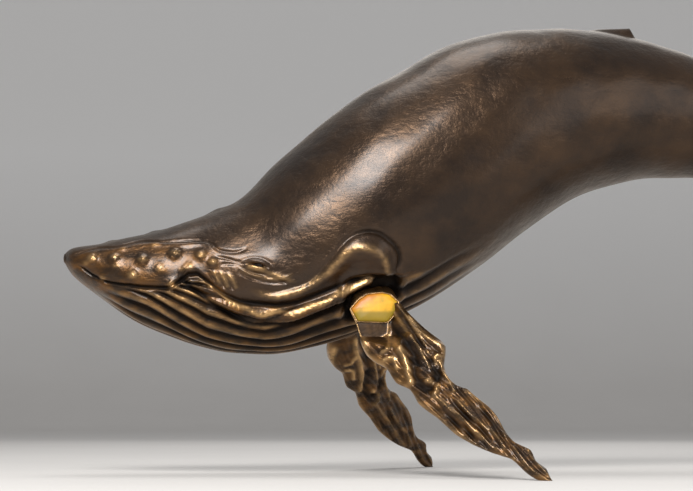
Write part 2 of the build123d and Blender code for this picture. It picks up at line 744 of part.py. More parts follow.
back_top = Section(dorsal_place_share).point(math.pi)
dorsal_base = Plane(origin=back_top - Vector(0, 0, dorsal_root_depth))
dorsal_tip = Plane(origin=back_top + Vector(dorsal_tip_set_back, 0, dorsal_rise))
dorsal = Solid.make_loft([
    oval(dorsal_base, dorsal_base_long / 2, dorsal_base_wide / 2, mound_sides),
    oval(dorsal_tip, dorsal_tip_long / 2, dorsal_tip_wide / 2, mound_sides),
], True)
back = ahead_of(behind(skin, front_seam_share), rear_seam_share)
back = cut_by(joined(back, [dorsal]), [cavity])
tail = cut_by(behind(skin, rear_seam_share), [cavity, tenon_hole, fluke_pin_hole])

# The crumbs that the lips leave along the parting line are left out
head, throat = [shape.solids().sort_by(SortBy.VOLUME)[-1] for shape in (head, throat)]

# Every piece by its name
nodes = {
    "head_casting": head,
    "throat_casting": throat,
    "back_casting": back,
    "tail_casting": tail,
    "flukes": flukes,
    "front_sleeve": sleeve(front_seam_share),
    "rear_sleeve": sleeve(rear_seam_share),
    "throat_dowels": Compound(throat_dowels(0)),
    "fin_dowels": Compound(both_sides(dowel)),
    "fluke_pin": fluke_pin,
}
pairs = {
    "pectoral_fin": fin,
    "shoulder_inlay": inlay,
    "eye": eye,
    "fin_stud": stud,
    "fin_nut": nut,
}
for name, shape in pairs.items():
    nodes[name + "_left"] = shape
    nodes[name + "_right"] = mirrored(shape)

# The origin goes to the floor under the middle of the whale
front_x = min(corner.X for corner in nose_end.vertices())
middle_x = (front_x + flukes.bounding_box().max.X) / 2
for name, shape in nodes.items():
    export_step(shape.moved(Location((-middle_x, 0, 0))), "parts/" + name + ".step")
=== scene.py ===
import math

import bpy
import numpy as np
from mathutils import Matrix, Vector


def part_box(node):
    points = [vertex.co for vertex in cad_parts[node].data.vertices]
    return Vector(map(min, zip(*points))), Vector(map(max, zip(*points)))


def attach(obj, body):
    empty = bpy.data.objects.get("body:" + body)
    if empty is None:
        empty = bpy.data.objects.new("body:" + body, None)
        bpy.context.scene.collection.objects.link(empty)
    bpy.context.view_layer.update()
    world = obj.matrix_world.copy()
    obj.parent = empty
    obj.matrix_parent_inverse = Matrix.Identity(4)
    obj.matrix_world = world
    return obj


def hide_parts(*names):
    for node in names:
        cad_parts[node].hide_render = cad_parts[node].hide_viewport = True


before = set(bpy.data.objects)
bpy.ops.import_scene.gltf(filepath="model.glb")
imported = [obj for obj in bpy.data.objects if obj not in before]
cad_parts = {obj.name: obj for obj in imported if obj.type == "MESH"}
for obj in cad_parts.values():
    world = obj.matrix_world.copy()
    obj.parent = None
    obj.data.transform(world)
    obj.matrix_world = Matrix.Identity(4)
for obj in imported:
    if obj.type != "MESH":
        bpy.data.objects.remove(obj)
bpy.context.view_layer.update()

# Studio: a plain pale floor that sweeps up behind the whale, of matt painted board, lit by soft boxes. The
# camera stands at the photograph's height and angle. The sweep's sizes are in metres.
SWEEP_WIDE, FLOOR_FRONT, FLOOR_LONG, BEND_RADIUS, WALL_HIGH = 9.0, -4.0, 7.6, 0.9, 3.0


def linear(code):
    """sRGB hex to linear colour: a channel is divided by 12.92 below the knee and raised to 2.4 above it."""
    channels = [int(code[i:i + 2], 16) / 255 for i in (0, 2, 4)]
    return tuple(c / 12.92 if c <= 0.04045 else ((c + 0.055) / 1.055) ** 2.4 for c in channels) + (1.0,)


def cells(size):
    """The scale of a noise pattern: how many cells of this size in millimetres lie along a metre."""
    return 1000 / size


def link(tree, node, links):
    """Makes links into a node, each given as (input, from node, output)."""
    for target, source, output in links:
        tree.links.new(node.inputs[target], source.outputs[output])


def add(tree, kind, links=(), stops=(), **settings):
    """Adds a shader node. Settings name its properties or input sockets, and stops are the places and colours of a
    ramp. A Mix node takes its colours at inputs 6 and 7, and gives the mixed one at output 2."""
    node = tree.nodes.new("ShaderNode" + kind)
    for name, value in settings.items():
        if hasattr(node, name):
            setattr(node, name, value)
        else:
            node.inputs[name.replace("_", " ")].default_value = value
    for place, _ in stops[1:-1]:
        node.color_ramp.elements.new(place)
    for stop, (place, code) in zip(node.color_ramp.elements if stops else (), stops):
        stop.position, stop.color = place, linear(code)
    link(tree, node, links)
    return node


def new_material(name, **settings):
    """A node material with no more than its output and its main shader, whose inputs the settings name."""
    material = bpy.data.materials.new(name)
    material.use_nodes = True
    material.node_tree.nodes.clear()
    tree = material.node_tree
    shader = add(tree, "BsdfPrincipled", **settings)
    add(tree, "OutputMaterial", [("Surface", shader, 0)])
    return material, tree, shader


# Matt emulsion on board: no gloss, a tone that drifts a little from patch to patch, and paler above the floor
board, tree, shader = new_material("matt_painted_board", Roughness=0.85)
coords = add(tree, "TexCoord")
paint = add(tree, "TexNoise", [("Vector", coords, "Object")], Scale=cells(166.7), Detail=3.0)
tint = add(tree, "ValToRGB", [("Fac", paint, "Fac")], [(0, "CFCBC6"), (1, "D6D2CD")])
apart = add(tree, "SeparateXYZ", [("Vector", coords, "Object")])
high = add(tree, "MapRange", [("Value", apart, "Z")], From_Min=0.1, From_Max=0.8)
paler = add(tree, "Mix", [("Factor", high, 0), (6, tint, 0)], data_type="RGBA")
paler.inputs[7].default_value = linear("F6F4F1")
link(tree, shader, [("Base Color", paler, 2)])


def sweep_points(across, along):
    """A flat floor, then a quarter circle, then a wall. The sweep turns away from the camera: y grows by the run
    and then by the sine of the bend, and z by one minus its cosine."""
    arc = BEND_RADIUS * math.pi / 2
    run = along * (FLOOR_LONG + arc + WALL_HIGH)
    bend = np.clip((run - FLOOR_LONG) / BEND_RADIUS, 0, math.pi / 2)
    y = np.minimum(run, FLOOR_LONG) + BEND_RADIUS * np.sin(bend) + FLOOR_FRONT
    z = BEND_RADIUS * (1 - np.cos(bend)) + np.clip(run - FLOOR_LONG - arc, 0, None)
    return np.stack([(across - 0.5) * SWEEP_WIDE, y, z], -1)


def surface(name, grid, material, values=None, wrap=False, lid=False, caps=()):
    """A grid of points in millimetres becomes a mesh in metres. It may wrap round, or a lid may join its last
    column to its first, and each cap closes one end row onto its middle point. Lids and caps have edge points of
    their own, so that they shade flat. Values are stored by name."""
    rows, columns = grid.shape[:2]
    index = np.arange(rows * columns).reshape(rows, columns)
    around = np.concatenate([index, index[:, :1]], 1) if wrap or lid else index
    kept = index if lid else around
    quads = np.stack([kept[:-1, :-1], kept[1:, :-1], kept[1:, 1:], kept[:-1, 1:]], -1).reshape(-1, 4)
    points, faces = grid.reshape(-1, 3), quads.tolist()
    values = {key: value.reshape(-1) for key, value in (values or {}).items()}
    if lid:
        first = len(points) + np.arange(rows)
        last = first + rows
        points = np.vstack([points, grid[:, 0], grid[:, -1]])
        values = {key: np.concatenate([value, value[index[:, 0]], value[index[:, -1]]])
                  for key, value in values.items()}
        faces += np.stack([last[:-1], last[1:], first[1:], first[:-1]], -1).tolist()
    for end in caps:
        edge = len(points) + around[end] - around[end][0]
        middle = len(points) + columns
        points = np.vstack([points, grid[end], grid[end].mean(0)])
        values = {key: np.concatenate([value, value[index[end]], value[index[end][:1]]])
                  for key, value in values.items()}
        pairs = zip(edge[:-1].tolist(), edge[1:].tolist())
        faces += [(a, b, middle) if end == 0 else (b, a, middle) for a, b in pairs]
    mesh = bpy.data.meshes.new(name)
    mesh.from_pydata((points / 1000).tolist(), [], faces)
    for key, value in values.items():
        layer = mesh.attributes.new(key, "FLOAT", "POINT")
        layer.data.foreach_set("value", value.astype(np.float32))
    mesh.polygons.foreach_set("use_smooth", np.arange(len(mesh.polygons)) < len(quads))
    mesh.update()
    mesh.materials.append(material)
    piece = bpy.data.objects.new(name, mesh)
    bpy.context.scene.collection.objects.link(piece)
    return piece


across, along = np.meshgrid(np.linspace(1, 0, 3), np.linspace(0, 1, 120))
sweep = surface("studio_sweep", sweep_points(across, along) * 1000, board)

scene = bpy.context.scene
scene.view_settings.view_transform = "Standard"
world = bpy.data.worlds.new("pale_room")
scene.world = world
world.use_nodes = True
world.node_tree.nodes["Background"].inputs["Color"].default_value = linear("E4E6EA")
world.node_tree.nodes["Background"].inputs["Strength"].default_value = 0.50

# Soft boxes: place and target in metres, side in metres, power in watts
for name, place, target, side, watts in [
    ("window_box", (-0.52, -1.12, 0.98), (-0.02, 0.0, 0.17), 0.5, 21.0),
    ("top_strip", (-0.10, 0.25, 1.50), (0.0, 0.0, 0.15), 0.7, 6.0),
    ("fill_board", (1.30, -1.20, 0.60), (0.0, 0.0, 0.15), 1.2, 6.0),
    ("rear_board", (0.40, 1.30, 0.90), (0.0, 0.0, 0.15), 1.0, 3.0),
]:
    lamp = bpy.data.lights.new(name, "AREA")
    lamp.shape, lamp.size, lamp.energy = "SQUARE", side, watts
    holder = bpy.data.objects.new(name, lamp)
    holder.location = place
    aim = np.array(target) - np.array(place)
    aim /= np.linalg.norm(aim)
    holder.rotation_euler = (math.acos(-aim[2]), 0, math.atan2(-aim[0], aim[1]))
    scene.collection.objects.link(holder)

# Camera: its middle column looks at VIEW_X. The whale's arrays are in millimetres from the first row of its
# body, 0.924 mm behind the tip of the head casting, and FROM_BEAK carries them into the row's frame.
FROM_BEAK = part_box("head_casting")[0].x * 1000 + 0.924
VIEW_X, CAMERA_AWAY, CAMERA_HEIGHT, YAW = 184.6, 1300.0, 38.0, math.radians(10)
PICTURE_WIDE, FOCAL_PIXELS, HORIZON_PIXELS, SENSOR_WIDE = 693, 1970, 170, 36
camera_data = bpy.data.cameras.new("camera")
camera_data.lens = FOCAL_PIXELS / PICTURE_WIDE * SENSOR_WIDE
camera_data.sensor_width = SENSOR_WIDE
camera = bpy.data.objects.new("camera", camera_data)
camera.location = (
    (VIEW_X + FROM_BEAK - CAMERA_AWAY * math.sin(YAW)) / 1000,
    -CAMERA_AWAY * math.cos(YAW) / 1000,
    CAMERA_HEIGHT / 1000,
)
camera.rotation_euler = (math.pi / 2 + math.atan(HORIZON_PIXELS / FOCAL_PIXELS), 0, -YAW)
scene.collection.objects.link(camera)
scene.camera = camera

# Body form: the body was modelled as one skin, then cast in pieces, so its castings share one form. Rows run
# from beak to tail: back x and z, belly x and z, half width, height share of the widest place, and the fullness
# of the upper and lower half, in millimetres. A share below is one of the body's own length.
BODY_ROWS = np.array([
    (0.0, 142.0, 0.0, 136.0, 3.0, .50, 2.0, 2.0), (1.7, 143.8, 2.2, 132.2, 8.0, .50, 2.0, 2.0),
    (8.3, 146.5, 8.9, 124.7, 15.5, .50, 2.1, 2.0), (20.6, 148.3, 22.8, 114.2, 23.5, .48, 2.2, 2.0),
    (36.7, 152.2, 40.6, 101.7, 30.5, .46, 2.2, 2.0), (56.7, 156.7, 62.8, 91.2, 36.5, .44, 2.2, 2.1),
    (77.8, 163.9, 86.7, 83.1, 41.5, .43, 2.1, 2.2), (98.4, 171.6, 110.6, 78.6, 46.0, .43, 2.1, 2.2),
    (114.5, 180.6, 132.3, 78.0, 49.5, .44, 2.0, 2.2), (132.3, 199.1, 156.8, 81.3, 54.0, .46, 2.0, 2.2),
    (153.5, 218.3, 182.4, 88.5, 59.0, .48, 2.0, 2.2), (173.5, 235.6, 208.5, 98.7, 62.5, .49, 2.1, 2.1),
    (196.8, 253.0, 234.6, 111.5, 64.5, .50, 2.1, 2.1), (220.7, 267.3, 260.8, 127.7, 65.0, .50, 2.1, 2.1),
    (248.5, 283.5, 289.1, 148.6, 63.5, .50, 2.1, 2.1), (279.7, 293.9, 318.6, 171.0, 60.0, .50, 2.1, 2.0),
    (311.4, 298.7, 346.4, 186.9, 55.0, .50, 2.0, 2.0), (344.7, 299.6, 372.5, 195.5, 49.0, .50, 2.0, 2.0),
    (376.4, 296.0, 394.8, 199.4, 43.5, .50, 2.0, 2.0), (404.8, 289.7, 412.6, 200.3, 39.0, .50, 2.0, 2.0),
    (430.3, 281.7, 428.7, 200.3, 35.0, .50, 2.0, 2.0), (474.3, 264.0, 443.1, 197.9, 30.5, .50, 2.0, 2.0),
    (506.0, 235.9, 463.1, 189.9, 25.0, .50, 2.0, 2.0), (527.6, 199.7, 483.7, 172.2, 19.5, .50, 2.0, 2.0),
    (539.9, 160.3, 501.5, 145.6, 14.5, .50, 2.0, 2.0), (544.9, 122.0, 516.0, 114.2, 11.0, .50, 2.0, 2.0),
    (548.2, 87.3, 526.5, 82.8, 9.5, .50, 2.0, 2.0),
])
steps = np.hypot(*np.diff((BODY_ROWS[:, 0:2] + BODY_ROWS[:, 2:4]) / 2, axis=0).T)
BODY_PLACES = np.concatenate([[0], np.cumsum(steps)])
OWN_LENGTH = BODY_PLACES[-1]


def curve_through(places, values, at):
    """A natural cubic: solves for the second derivative at every place, then mixes the two nearest values by
    distance, with a cubic share of their second derivatives."""
    count, gaps = len(places), np.diff(places)
    matrix = np.eye(count)
    right = np.zeros_like(values)
    inner = np.arange(1, count - 1)
    matrix[inner, inner - 1], matrix[inner, inner], matrix[inner, inner + 1] = (
        gaps[:-1], 2 * (gaps[:-1] + gaps[1:]), gaps[1:])
    slopes = np.diff(values, axis=0) / gaps[:, None]
    right[1:-1] = 6 * np.diff(slopes, axis=0)
    bends = np.linalg.solve(matrix, right)
    i = np.clip(np.searchsorted(places, at) - 1, 0, count - 2)
    a = ((places[i + 1] - at) / gaps[i])[..., None]
    b = 1 - a
    bent = ((a**3 - a) * bends[i] + (b**3 - b) * bends[i + 1]) * (gaps[i] ** 2)[..., None] / 6
    return a * values[i] + b * values[i + 1] + bent


def section(share):
    """Middle, way up, height, half width, widest place and fullness of the section at each share."""
    back_x, back_z, belly_x, belly_z, half, widest, upper, lower = np.moveaxis(
        curve_through(BODY_PLACES, BODY_ROWS, share * OWN_LENGTH), -1, 0)
    rise = np.stack([back_x - belly_x, back_z - belly_z], -1)
    tall = np.hypot(rise[..., 0], rise[..., 1])
    up = rise / tall[..., None]
    middle = np.stack([belly_x, belly_z], -1) + rise * widest[..., None]
    return middle, up, tall, half, widest, upper, lower


def skin(share, angle):
    """Points and ways out of the plain body. The angle starts at the belly and grows up the left side (-Y). The
    reach is (|sin / half width|^n + |cos / half height|^n)^(-1/n), and the way out is its gradient."""
    middle, up, tall, half, widest, upper, lower = section(share)
    sine, cosine = np.sin(angle), np.cos(angle)
    below = cosine > 0
    fullness = np.where(below, lower, upper)
    height = np.where(below, tall * widest, tall * (1 - widest))
    reach = (np.abs(sine / half) ** fullness + np.abs(cosine / height) ** fullness) ** (-1 / fullness)
    side, rise = reach * sine, -reach * cosine
    points = np.stack([middle[..., 0] + up[..., 0] * rise, -side, middle[..., 1] + up[..., 1] * rise], -1)
    out_side = np.sign(side) * np.abs(side / half) ** (fullness - 1) / half
    out_rise = np.sign(rise) * np.abs(rise / height) ** (fullness - 1) / height
    out = np.stack([up[..., 0] * out_rise, -out_side, up[..., 1] * out_rise], -1)
    return points, out / np.linalg.norm(out, axis=-1, keepdims=True)


def angle_at(share, height_share):
    """The angle at which the left outline passes a share of the section's height."""
    middle, up, tall, half, widest, upper, lower = section(share)
    rise = (height_share - widest) * tall
    above = rise > 0
    height = np.where(above, tall * (1 - widest), tall * widest)
    fullness = np.where(above, upper, lower)
    side = half * (1 - np.abs(rise / height) ** fullness) ** (1 / fullness)
    return np.arctan2(side, -rise)


# Relief of the body, modelled in the wax. Its lines were read from the photograph, as X from the beak and Z in
# millimetres, on both sides alike. The mouth line is a share of the length and one of the section's height.
MOUTH = np.array([
    (0, .44), (.013, .38), (.026, .28), (.041, .285), (.062, .365), (.083, .40), (.098, .42), (.108, .48),
    (.118, .55), (.127, .55), (.137, .475), (.149, .385), (.163, .328), (.179, .300), (.197, .270),
    (.216, .250), (.234, .248), (.253, .248), (.270, .250), (.287, .238), (.300, .220), (.330, .17),
    (.360, .14),
])
UPPER_FOLD = np.array([
    (109.2, 118.7), (119.9, 113.2), (132.4, 111.9), (149.7, 117.7), (161.7, 125.8), (170.2, 134.6),
    (178.9, 142.2), (187.9, 142.3), (195.9, 137.5), (199.2, 130.2),
])
FOLD_CREASE = np.array([
    (105.0, 124.2), (111.9, 117.0), (119.9, 113.4), (135.8, 116.4), (151.3, 121.5), (159.9, 129.6),
    (167.0, 138.4), (174.4, 147.3), (181.4, 151.7), (192.0, 152.6), (201.4, 147.6), (208.4, 139.1),
    (206.5, 127.2),
])
LOWER_LIP = np.array([
    (77.5, 126.6), (87.0, 118.4), (99.1, 109.7), (108.1, 104.3), (118.9, 100.2), (133.0, 100.8),
    (145.4, 101.5), (156.8, 106.1), (168.2, 111.1), (179.0, 116.9), (189.2, 121.3), (196.0, 123.5),
])
SNOUT_LINE = np.array([
    (4.0, 141.0), (9.2, 142.3), (20.3, 144.4), (32.1, 145.6), (47.4, 148.5), (61.6, 148.7), (76.0, 148.4),
    (88.7, 148.7), (93.0, 146.0),
])
# Depth of each brow line and its points, then the same with the wear and painted highlight on the skin above each
# cheek line
BROW_LINES = [
    (0.9, np.array([(90.0, 146.5), (95.5, 142.5), (102.0, 141.0), (108.5, 141.5), (113.0, 144.0)])),
    (0.6, np.array([(93.0, 138.0), (99.0, 137.0), (105.0, 135.2), (110.0, 134.0)])),
    (0.5, np.array([(96.0, 133.0), (101.0, 133.5), (106.5, 132.8)])),
]
CHEEK_LINES = [
    (0.9, 0.25, np.array([(106.0, 128.5), (113.0, 125.0), (121.0, 122.6), (130.0, 121.5), (138.0, 122.5),
                          (143.0, 125.5)])),
    (0.9, 0.3, np.array([(111.0, 129.4), (118.0, 127.0), (128.0, 124.6), (136.0, 121.4), (143.0, 119.6)])),
    (1.0, 0.5, np.array([(97.5, 126.5), (101.5, 121.5), (104.0, 116.5)])),
    (1.0, 0.5, np.array([(93.0, 127.5), (96.5, 122.5), (98.5, 117.5)])),
    (0.9, 0.4, np.array([(89.0, 128.0), (92.0, 123.5), (93.5, 119.5)])),
]


def eased_line(line):
    """The line drawn as a natural cubic through its points, cut into three stretches between each two."""
    run = np.concatenate([[0], np.cumsum(np.hypot(*np.diff(line, axis=0).T))])
    at = np.interp(np.arange(3 * len(run) - 2) / 3, np.arange(len(run)), run)
    return curve_through(run, line, at)


def line_reach(points, line):
    """Distance in the side view from each point to an eased line, with the sign of the side (above is positive
    for a line that runs aft), and how far along the line the nearest place is, from 0 to 1."""
    line = eased_line(line)
    best = np.full(points.shape[:-1], 1e9)
    signed, place = np.zeros_like(best), np.zeros_like(best)
    lengths = np.hypot(*np.diff(line, axis=0).T)
    run = np.concatenate([[0], np.cumsum(lengths)])
    for i, (start, end) in enumerate(zip(line[:-1], line[1:])):
        way = (end - start) / lengths[i]
        offset = points - start
        t = np.clip(offset @ way, 0, lengths[i])
        gap = offset - t[..., None] * way
        distance = np.hypot(gap[..., 0], gap[..., 1])
        side = np.sign(offset[..., 1] * way[0] - offset[..., 0] * way[1])
        nearer = distance < best
        best = np.where(nearer, distance, best)
        signed = np.where(nearer, distance * side, signed)
        place = np.where(nearer, (run[i] + t) / run[-1], place)
    return signed, place


def bell(distance, width):
    """A bell curve: one at no distance and about a third at the width."""
    return np.exp(-(distance / width) ** 2)


def ease(value, low, high):
    """Nothing below low, all above high, and a smooth cubic between."""
    t = np.clip((value - low) / (high - low), 0, 1)
    return t * t * (3 - 2 * t)


# Each knob's share, height share, radius and height
KNOBS = [
    (.026, .643, 3.4, 2.3), (.049, .708, 3.0, 2.0), (.076, .692, 3.1, 2.1), (.108, .732, 3.3, 2.3),
    (.132, .684, 3.0, 1.7), (.142, .618, 2.7, 1.5), (.036, .31, 2.7, 1.7), (.065, .493, 3.4, 2.2),
    (.102, .443, 3.4, 1.9), (.092, .60, 3.6, 0.7), (.120, .60, 3.2, 0.8), (.058, .84, 2.6, 0.4),
    (.090, .84, 3.0, 0.4), (.020, .50, 2.6, 0.6), (.113, .585, 2.0, 0.7), (.050, .58, 3.4, 0.5),
]
# Low swellings along the middle of the snout: X, height and radius
SNOUT_BUMPS = [(28.9, 0.9, 4.0), (56.9, 1.1, 4.5), (98.0, 1.4, 6.0)]
# Creases round the eye: depth, rise over the eye, half length and half width
EYE_CREASES = [(0.45, 5.2, 13, 1.3), (1.0, -4.2, 15, 0.9), (0.8, -7.4, 17, 0.9)]
EYE_X, EYE_Z, EYE_TILT = 119.0, 131.6, math.radians(-11)
PLEATS_PER_SIDE, PLEAT_SPREAD, PLEAT_DEPTH = 8, math.radians(97), 3.4
MOUTH_DEPTH, LIP_PROUD, LIP_HALF, LIP_CREASE = 2.6, 2.5, 3.9, 2.2
RECESS_LONG, RECESS_TALL, RECESS_RAISED, RECESS_DEPTH = 17.5, 15.5, 2.5, 5.5
# Seat of the fin's block on the flank, with its ways out, aft and up, in the place given by two shares
SEAT_SHARE, SEAT_HEIGHT_SHARE = np.array(0.289), np.array(0.12)
SEAT_AT, SEAT_OUT = skin(SEAT_SHARE, angle_at(SEAT_SHARE, SEAT_HEIGHT_SHARE))
SEAT_X = np.array([1.0, 0, 0]) - SEAT_OUT * SEAT_OUT[0]
SEAT_X = SEAT_X / np.linalg.norm(SEAT_X)
SEAT_Y = np.cross(SEAT_OUT, SEAT_X)
# Low back fin: a ramp of some 40 mm that ends in a steep step behind, modelled with the back
FIN_MIDDLE = skin(np.array(0.603), np.array(math.pi))[0]
FIN_START, FIN_STEP, FIN_TOP = FIN_MIDDLE[0] - 12, FIN_MIDDLE[0] + 26, FIN_MIDDLE[2] + 3.4


def mouth_angle(share):
    """The angle of the mouth line on the left side, along which the throat is parted from the head."""
    return angle_at(share, np.interp(share, MOUTH[:, 0], MOUTH[:, 1]))


def pleat_number(share, low):
    """Which pleat a place lies on, counted from the belly. Near the chin the pleats crowd towards the lips."""
    crowding = np.interp(share, [.078, .090, .107, .132, .158, .183], [3.0, 2.7, 2.15, 1.5, 1.2, 1.0])
    left = np.clip(1 - low / PLEAT_SPREAD, 0.001, 1)
    return PLEATS_PER_SIDE * (1 - left ** (1 / crowding))


def modelled(share, angle):
    """The sculpted skin: the plain form, pushed along its own way out by the sum of its relief, most of it bells
    of the distance to a line or a place. Also gives where metal shows bright, as wear from hands and as painted
    highlight, how golden its patina is, and how deep in a groove it lies, which darkens it with patina and painted
    shade."""
    points, out = skin(share, angle)
    x, y, z = points[..., 0], np.abs(points[..., 1]), points[..., 2]
    side_view, left = points[..., [0, 2]], np.stack([x, -y, z], -1)
    flank = ease(y, 4, 16)
    low = np.abs(((angle + math.pi) % (2 * math.pi)) - math.pi)
    lips_at = mouth_angle(share)
    middle = section(share)[0]
    over_mouth = (low - lips_at) * np.sqrt((x - middle[..., 0]) ** 2 + y ** 2 + (z - middle[..., 1]) ** 2)

    # Pleats: grooves as deep as one minus |sin(pi n)|^1.15 of the pleat's number n, bright on the crests with wear
    # and painted highlight
    number = pleat_number(share, low) + 0.06 * np.sin(share * 90 + low * 4)
    crest = np.abs(np.sin(math.pi * number))
    pleated = ease(share, 0.030, 0.075) * (1 - ease(share, 0.30, 0.44)) * ease(-over_mouth, 0.8, 4.5)
    pleated = pleated * (1 - 0.25 * np.sin(share * 31 + number * 2.1) ** 2)
    push = -PLEAT_DEPTH * (1 - crest ** 1.15) * pleated
    # Painted shade: towards the belly the pleats darken and their bright crests fade
    painted_belly_shade = pleated * (1 - ease(low, 0.55, 1.35))
    wear_and_highlight = 0.95 * pleated * (crest ** 7) * (0.65 + 0.35 * np.sin(share * 140 + number * 3) ** 2)
    wear_and_highlight = wear_and_highlight * (1 - 0.6 * painted_belly_shade)

    # Mouth and lower lip: a groove that gapes at the corner, and a round lip whose wavy crest is bright with wear
    # and a painted highlight along its upper edge
    mouth_here = ease(share, 0.010, 0.022) * (1 - ease(share, 0.288, 0.318))
    gape = 1.5 + 1.3 * ease(over_mouth, -0.5, 0.5) * ease(share, 0.13, 0.17)
    push -= MOUTH_DEPTH * bell(over_mouth, gape) * mouth_here
    lip, lip_place = line_reach(side_view, LOWER_LIP)
    lip_on = ease(lip_place, 0.0, 0.12) * (1 - ease(lip_place, 0.93, 1.0)) * flank
    push += LIP_PROUD * bell(lip, LIP_HALF) * lip_on
    wear_and_highlight = wear_and_highlight * (1 - bell(lip, 5.0) * lip_on) + 0.95 * bell(lip - 2.4 + 0.7 * np.sin(x / 3.1), 1.2) * lip_on
    push += 0.25 * np.sin(x * 1.5 + z) * np.sin(z * 1.3 - x * 0.6) * bell(lip + 1, 4.0) * lip_on
    crease = ease(share, 0.10, 0.12) * (1 - ease(share, 0.27, 0.29)) * bell(lip + 5.4, 1.4) * flank
    push -= LIP_CREASE * crease

    # Fold from the mouth to the lobe over the shoulder: it widens and rises aft, creased along its upper edge
    fold, fold_place = line_reach(side_view, UPPER_FOLD)
    fold_on = ease(fold_place, 0.02, 0.25) * flank
    wide = 3.6 + 3.0 * ease(fold_place, 0.4, 0.75)
    push += (2.2 + 1.6 * ease(fold_place, 0.4, 0.7)) * bell(fold, wide) * fold_on
    patchy = 0.5 + 0.5 * np.sin(x * 0.9 + 2 * np.sin(z * 0.7)) * np.sin(x * 0.37 + z * 0.5)
    # Painted highlight, broken up by a pattern, along the crest of the fold
    wear_and_highlight += (0.25 + 0.35 * patchy) * bell(fold - 1.6, 1.9) * fold_on
    edge, edge_place = line_reach(side_view, FOLD_CREASE)
    edge_on = ease(edge_place, 0.12, 0.35) * (1 - 0.3 * ease(edge_place, 0.93, 1.0)) * flank
    push -= (0.9 + 1.3 * ease(edge_place, 0.5, 0.8)) * bell(edge - 0.8, 1.5) * edge_on
    lobe = np.exp(-(((x - 190.5) / 12.5) ** 2 + ((z - 136.0) / 13.0) ** 2) ** 1.6) * flank
    push += 2.3 * lobe

    # Snout: a wavy crease and a soft ridge, then brow and cheek lines that fade out at their ends
    snout, _ = line_reach(side_view, SNOUT_LINE)
    wave = 0.5 * np.sin(x / 4.3)
    push -= 1.1 * bell(snout + wave, 0.9) * flank * ease(x, 3, 8) * (1 - ease(x, 92, 97))
    push += 0.7 * bell(snout + 2.2, 1.8) * flank * ease(x, 6, 14) * (1 - ease(x, 88, 95))
    for depth, line in BROW_LINES:
        reach, place = line_reach(side_view, line)
        push -= depth * bell(reach, 0.9) * np.sin(math.pi * np.clip(place, 0, 1)) ** 0.5 * flank
    for depth, worn_and_highlight, line in CHEEK_LINES:
        reach, place = line_reach(side_view, line)
        soft = np.sin(math.pi * np.clip(place, 0, 1)) ** 0.6 * flank
        push += (0.7 * bell(reach - 2.4, 1.4) - depth * bell(reach, 1.0)) * soft
        # Painted highlight, with some wear, on the skin just above the cheek line
        wear_and_highlight += worn_and_highlight * bell(reach - 2.4, 1.3) * soft

    # Knobs: round bumps, made lumpy by two sines, bright on top with wear and a painted highlight on their upper
    # side
    for knob_share, knob_height, radius, proud in KNOBS:
        at = np.array(knob_share)
        offset = left - skin(at, angle_at(at, np.array(knob_height)))[0]
        distance = np.sqrt((offset ** 2).sum(-1)) / radius
        lump = 1 + 0.16 * np.sin(offset[..., 0] * 1.9 + knob_share * 90) * np.sin(offset[..., 2] * 1.6 + 2)
        push += proud * lump * np.exp(-distance ** 1.9)
        upper = ease(offset[..., 2] / radius, -0.9, 0.2)
        wear_and_highlight += np.exp(-(distance / 0.75) ** 2.4) * min(1.0, proud / 1.8) * upper

    # Eye: with u along it and v across it, lids along two bowed lines, the slit between them, and creases
    u = (x - EYE_X) * math.cos(EYE_TILT) + (z - EYE_Z) * math.sin(EYE_TILT)
    v = -(x - EYE_X) * math.sin(EYE_TILT) + (z - EYE_Z) * math.cos(EYE_TILT)
    bow = np.clip(1 - (u / 8.2) ** 2, -0.4, 1)
    lid_on = np.exp(-(np.abs(u) / 7.4) ** 4) * flank
    upper_lid, lower_lid = bell(v - 2.9 * bow, 1.3) * lid_on, bell(v + 1.1 * bow - 0.1, 1.2) * lid_on
    push += 1.5 * upper_lid + 1.6 * lower_lid * (1 - 0.5 * ease(np.abs(u), 3, 7))
    push -= 2.9 * np.exp(-(((u + 1.0) / 7.4) ** 2 + ((v - 1.2 * bow) / 0.95) ** 2) ** 1.4) * flank
    wide_on = np.exp(-(np.abs(u + 1.5) / 10.5) ** 4) * flank
    for depth, rise, half_length, half_width in EYE_CREASES:
        bowed = rise * np.clip(1 - (u / half_length) ** 2, -0.5, 1)
        push -= depth * bell(v - bowed, half_width) * wide_on
    push += 1.4 * np.exp(-((u / 17) ** 2 + ((v - 1) / 9.5) ** 2)) * flank
    # Painted highlight on the middle of the lower lid, with the wear of its crest
    wear_and_highlight += 0.95 * lower_lid * (1 - ease(np.abs(u + 0.8), 4.0, 7.5))

    # Back fin, which lifts the skin to its top line, and the low swellings on the snout
    ramp = ease(x, FIN_START, FIN_START + 15) * (1 - ease(x, FIN_STEP, FIN_STEP + 2.6))
    crown = np.clip(FIN_TOP + 0.06 * (x - FIN_STEP) - z, 0, 12) * (z > 250)
    push += crown * ramp * (1 - ease(y, 1.8, 8.0))
    for bump_x, height, radius in SNOUT_BUMPS:
        push += height * np.exp(-((x - bump_x) ** 2 + y ** 2) / radius ** 2) * (z > 135)

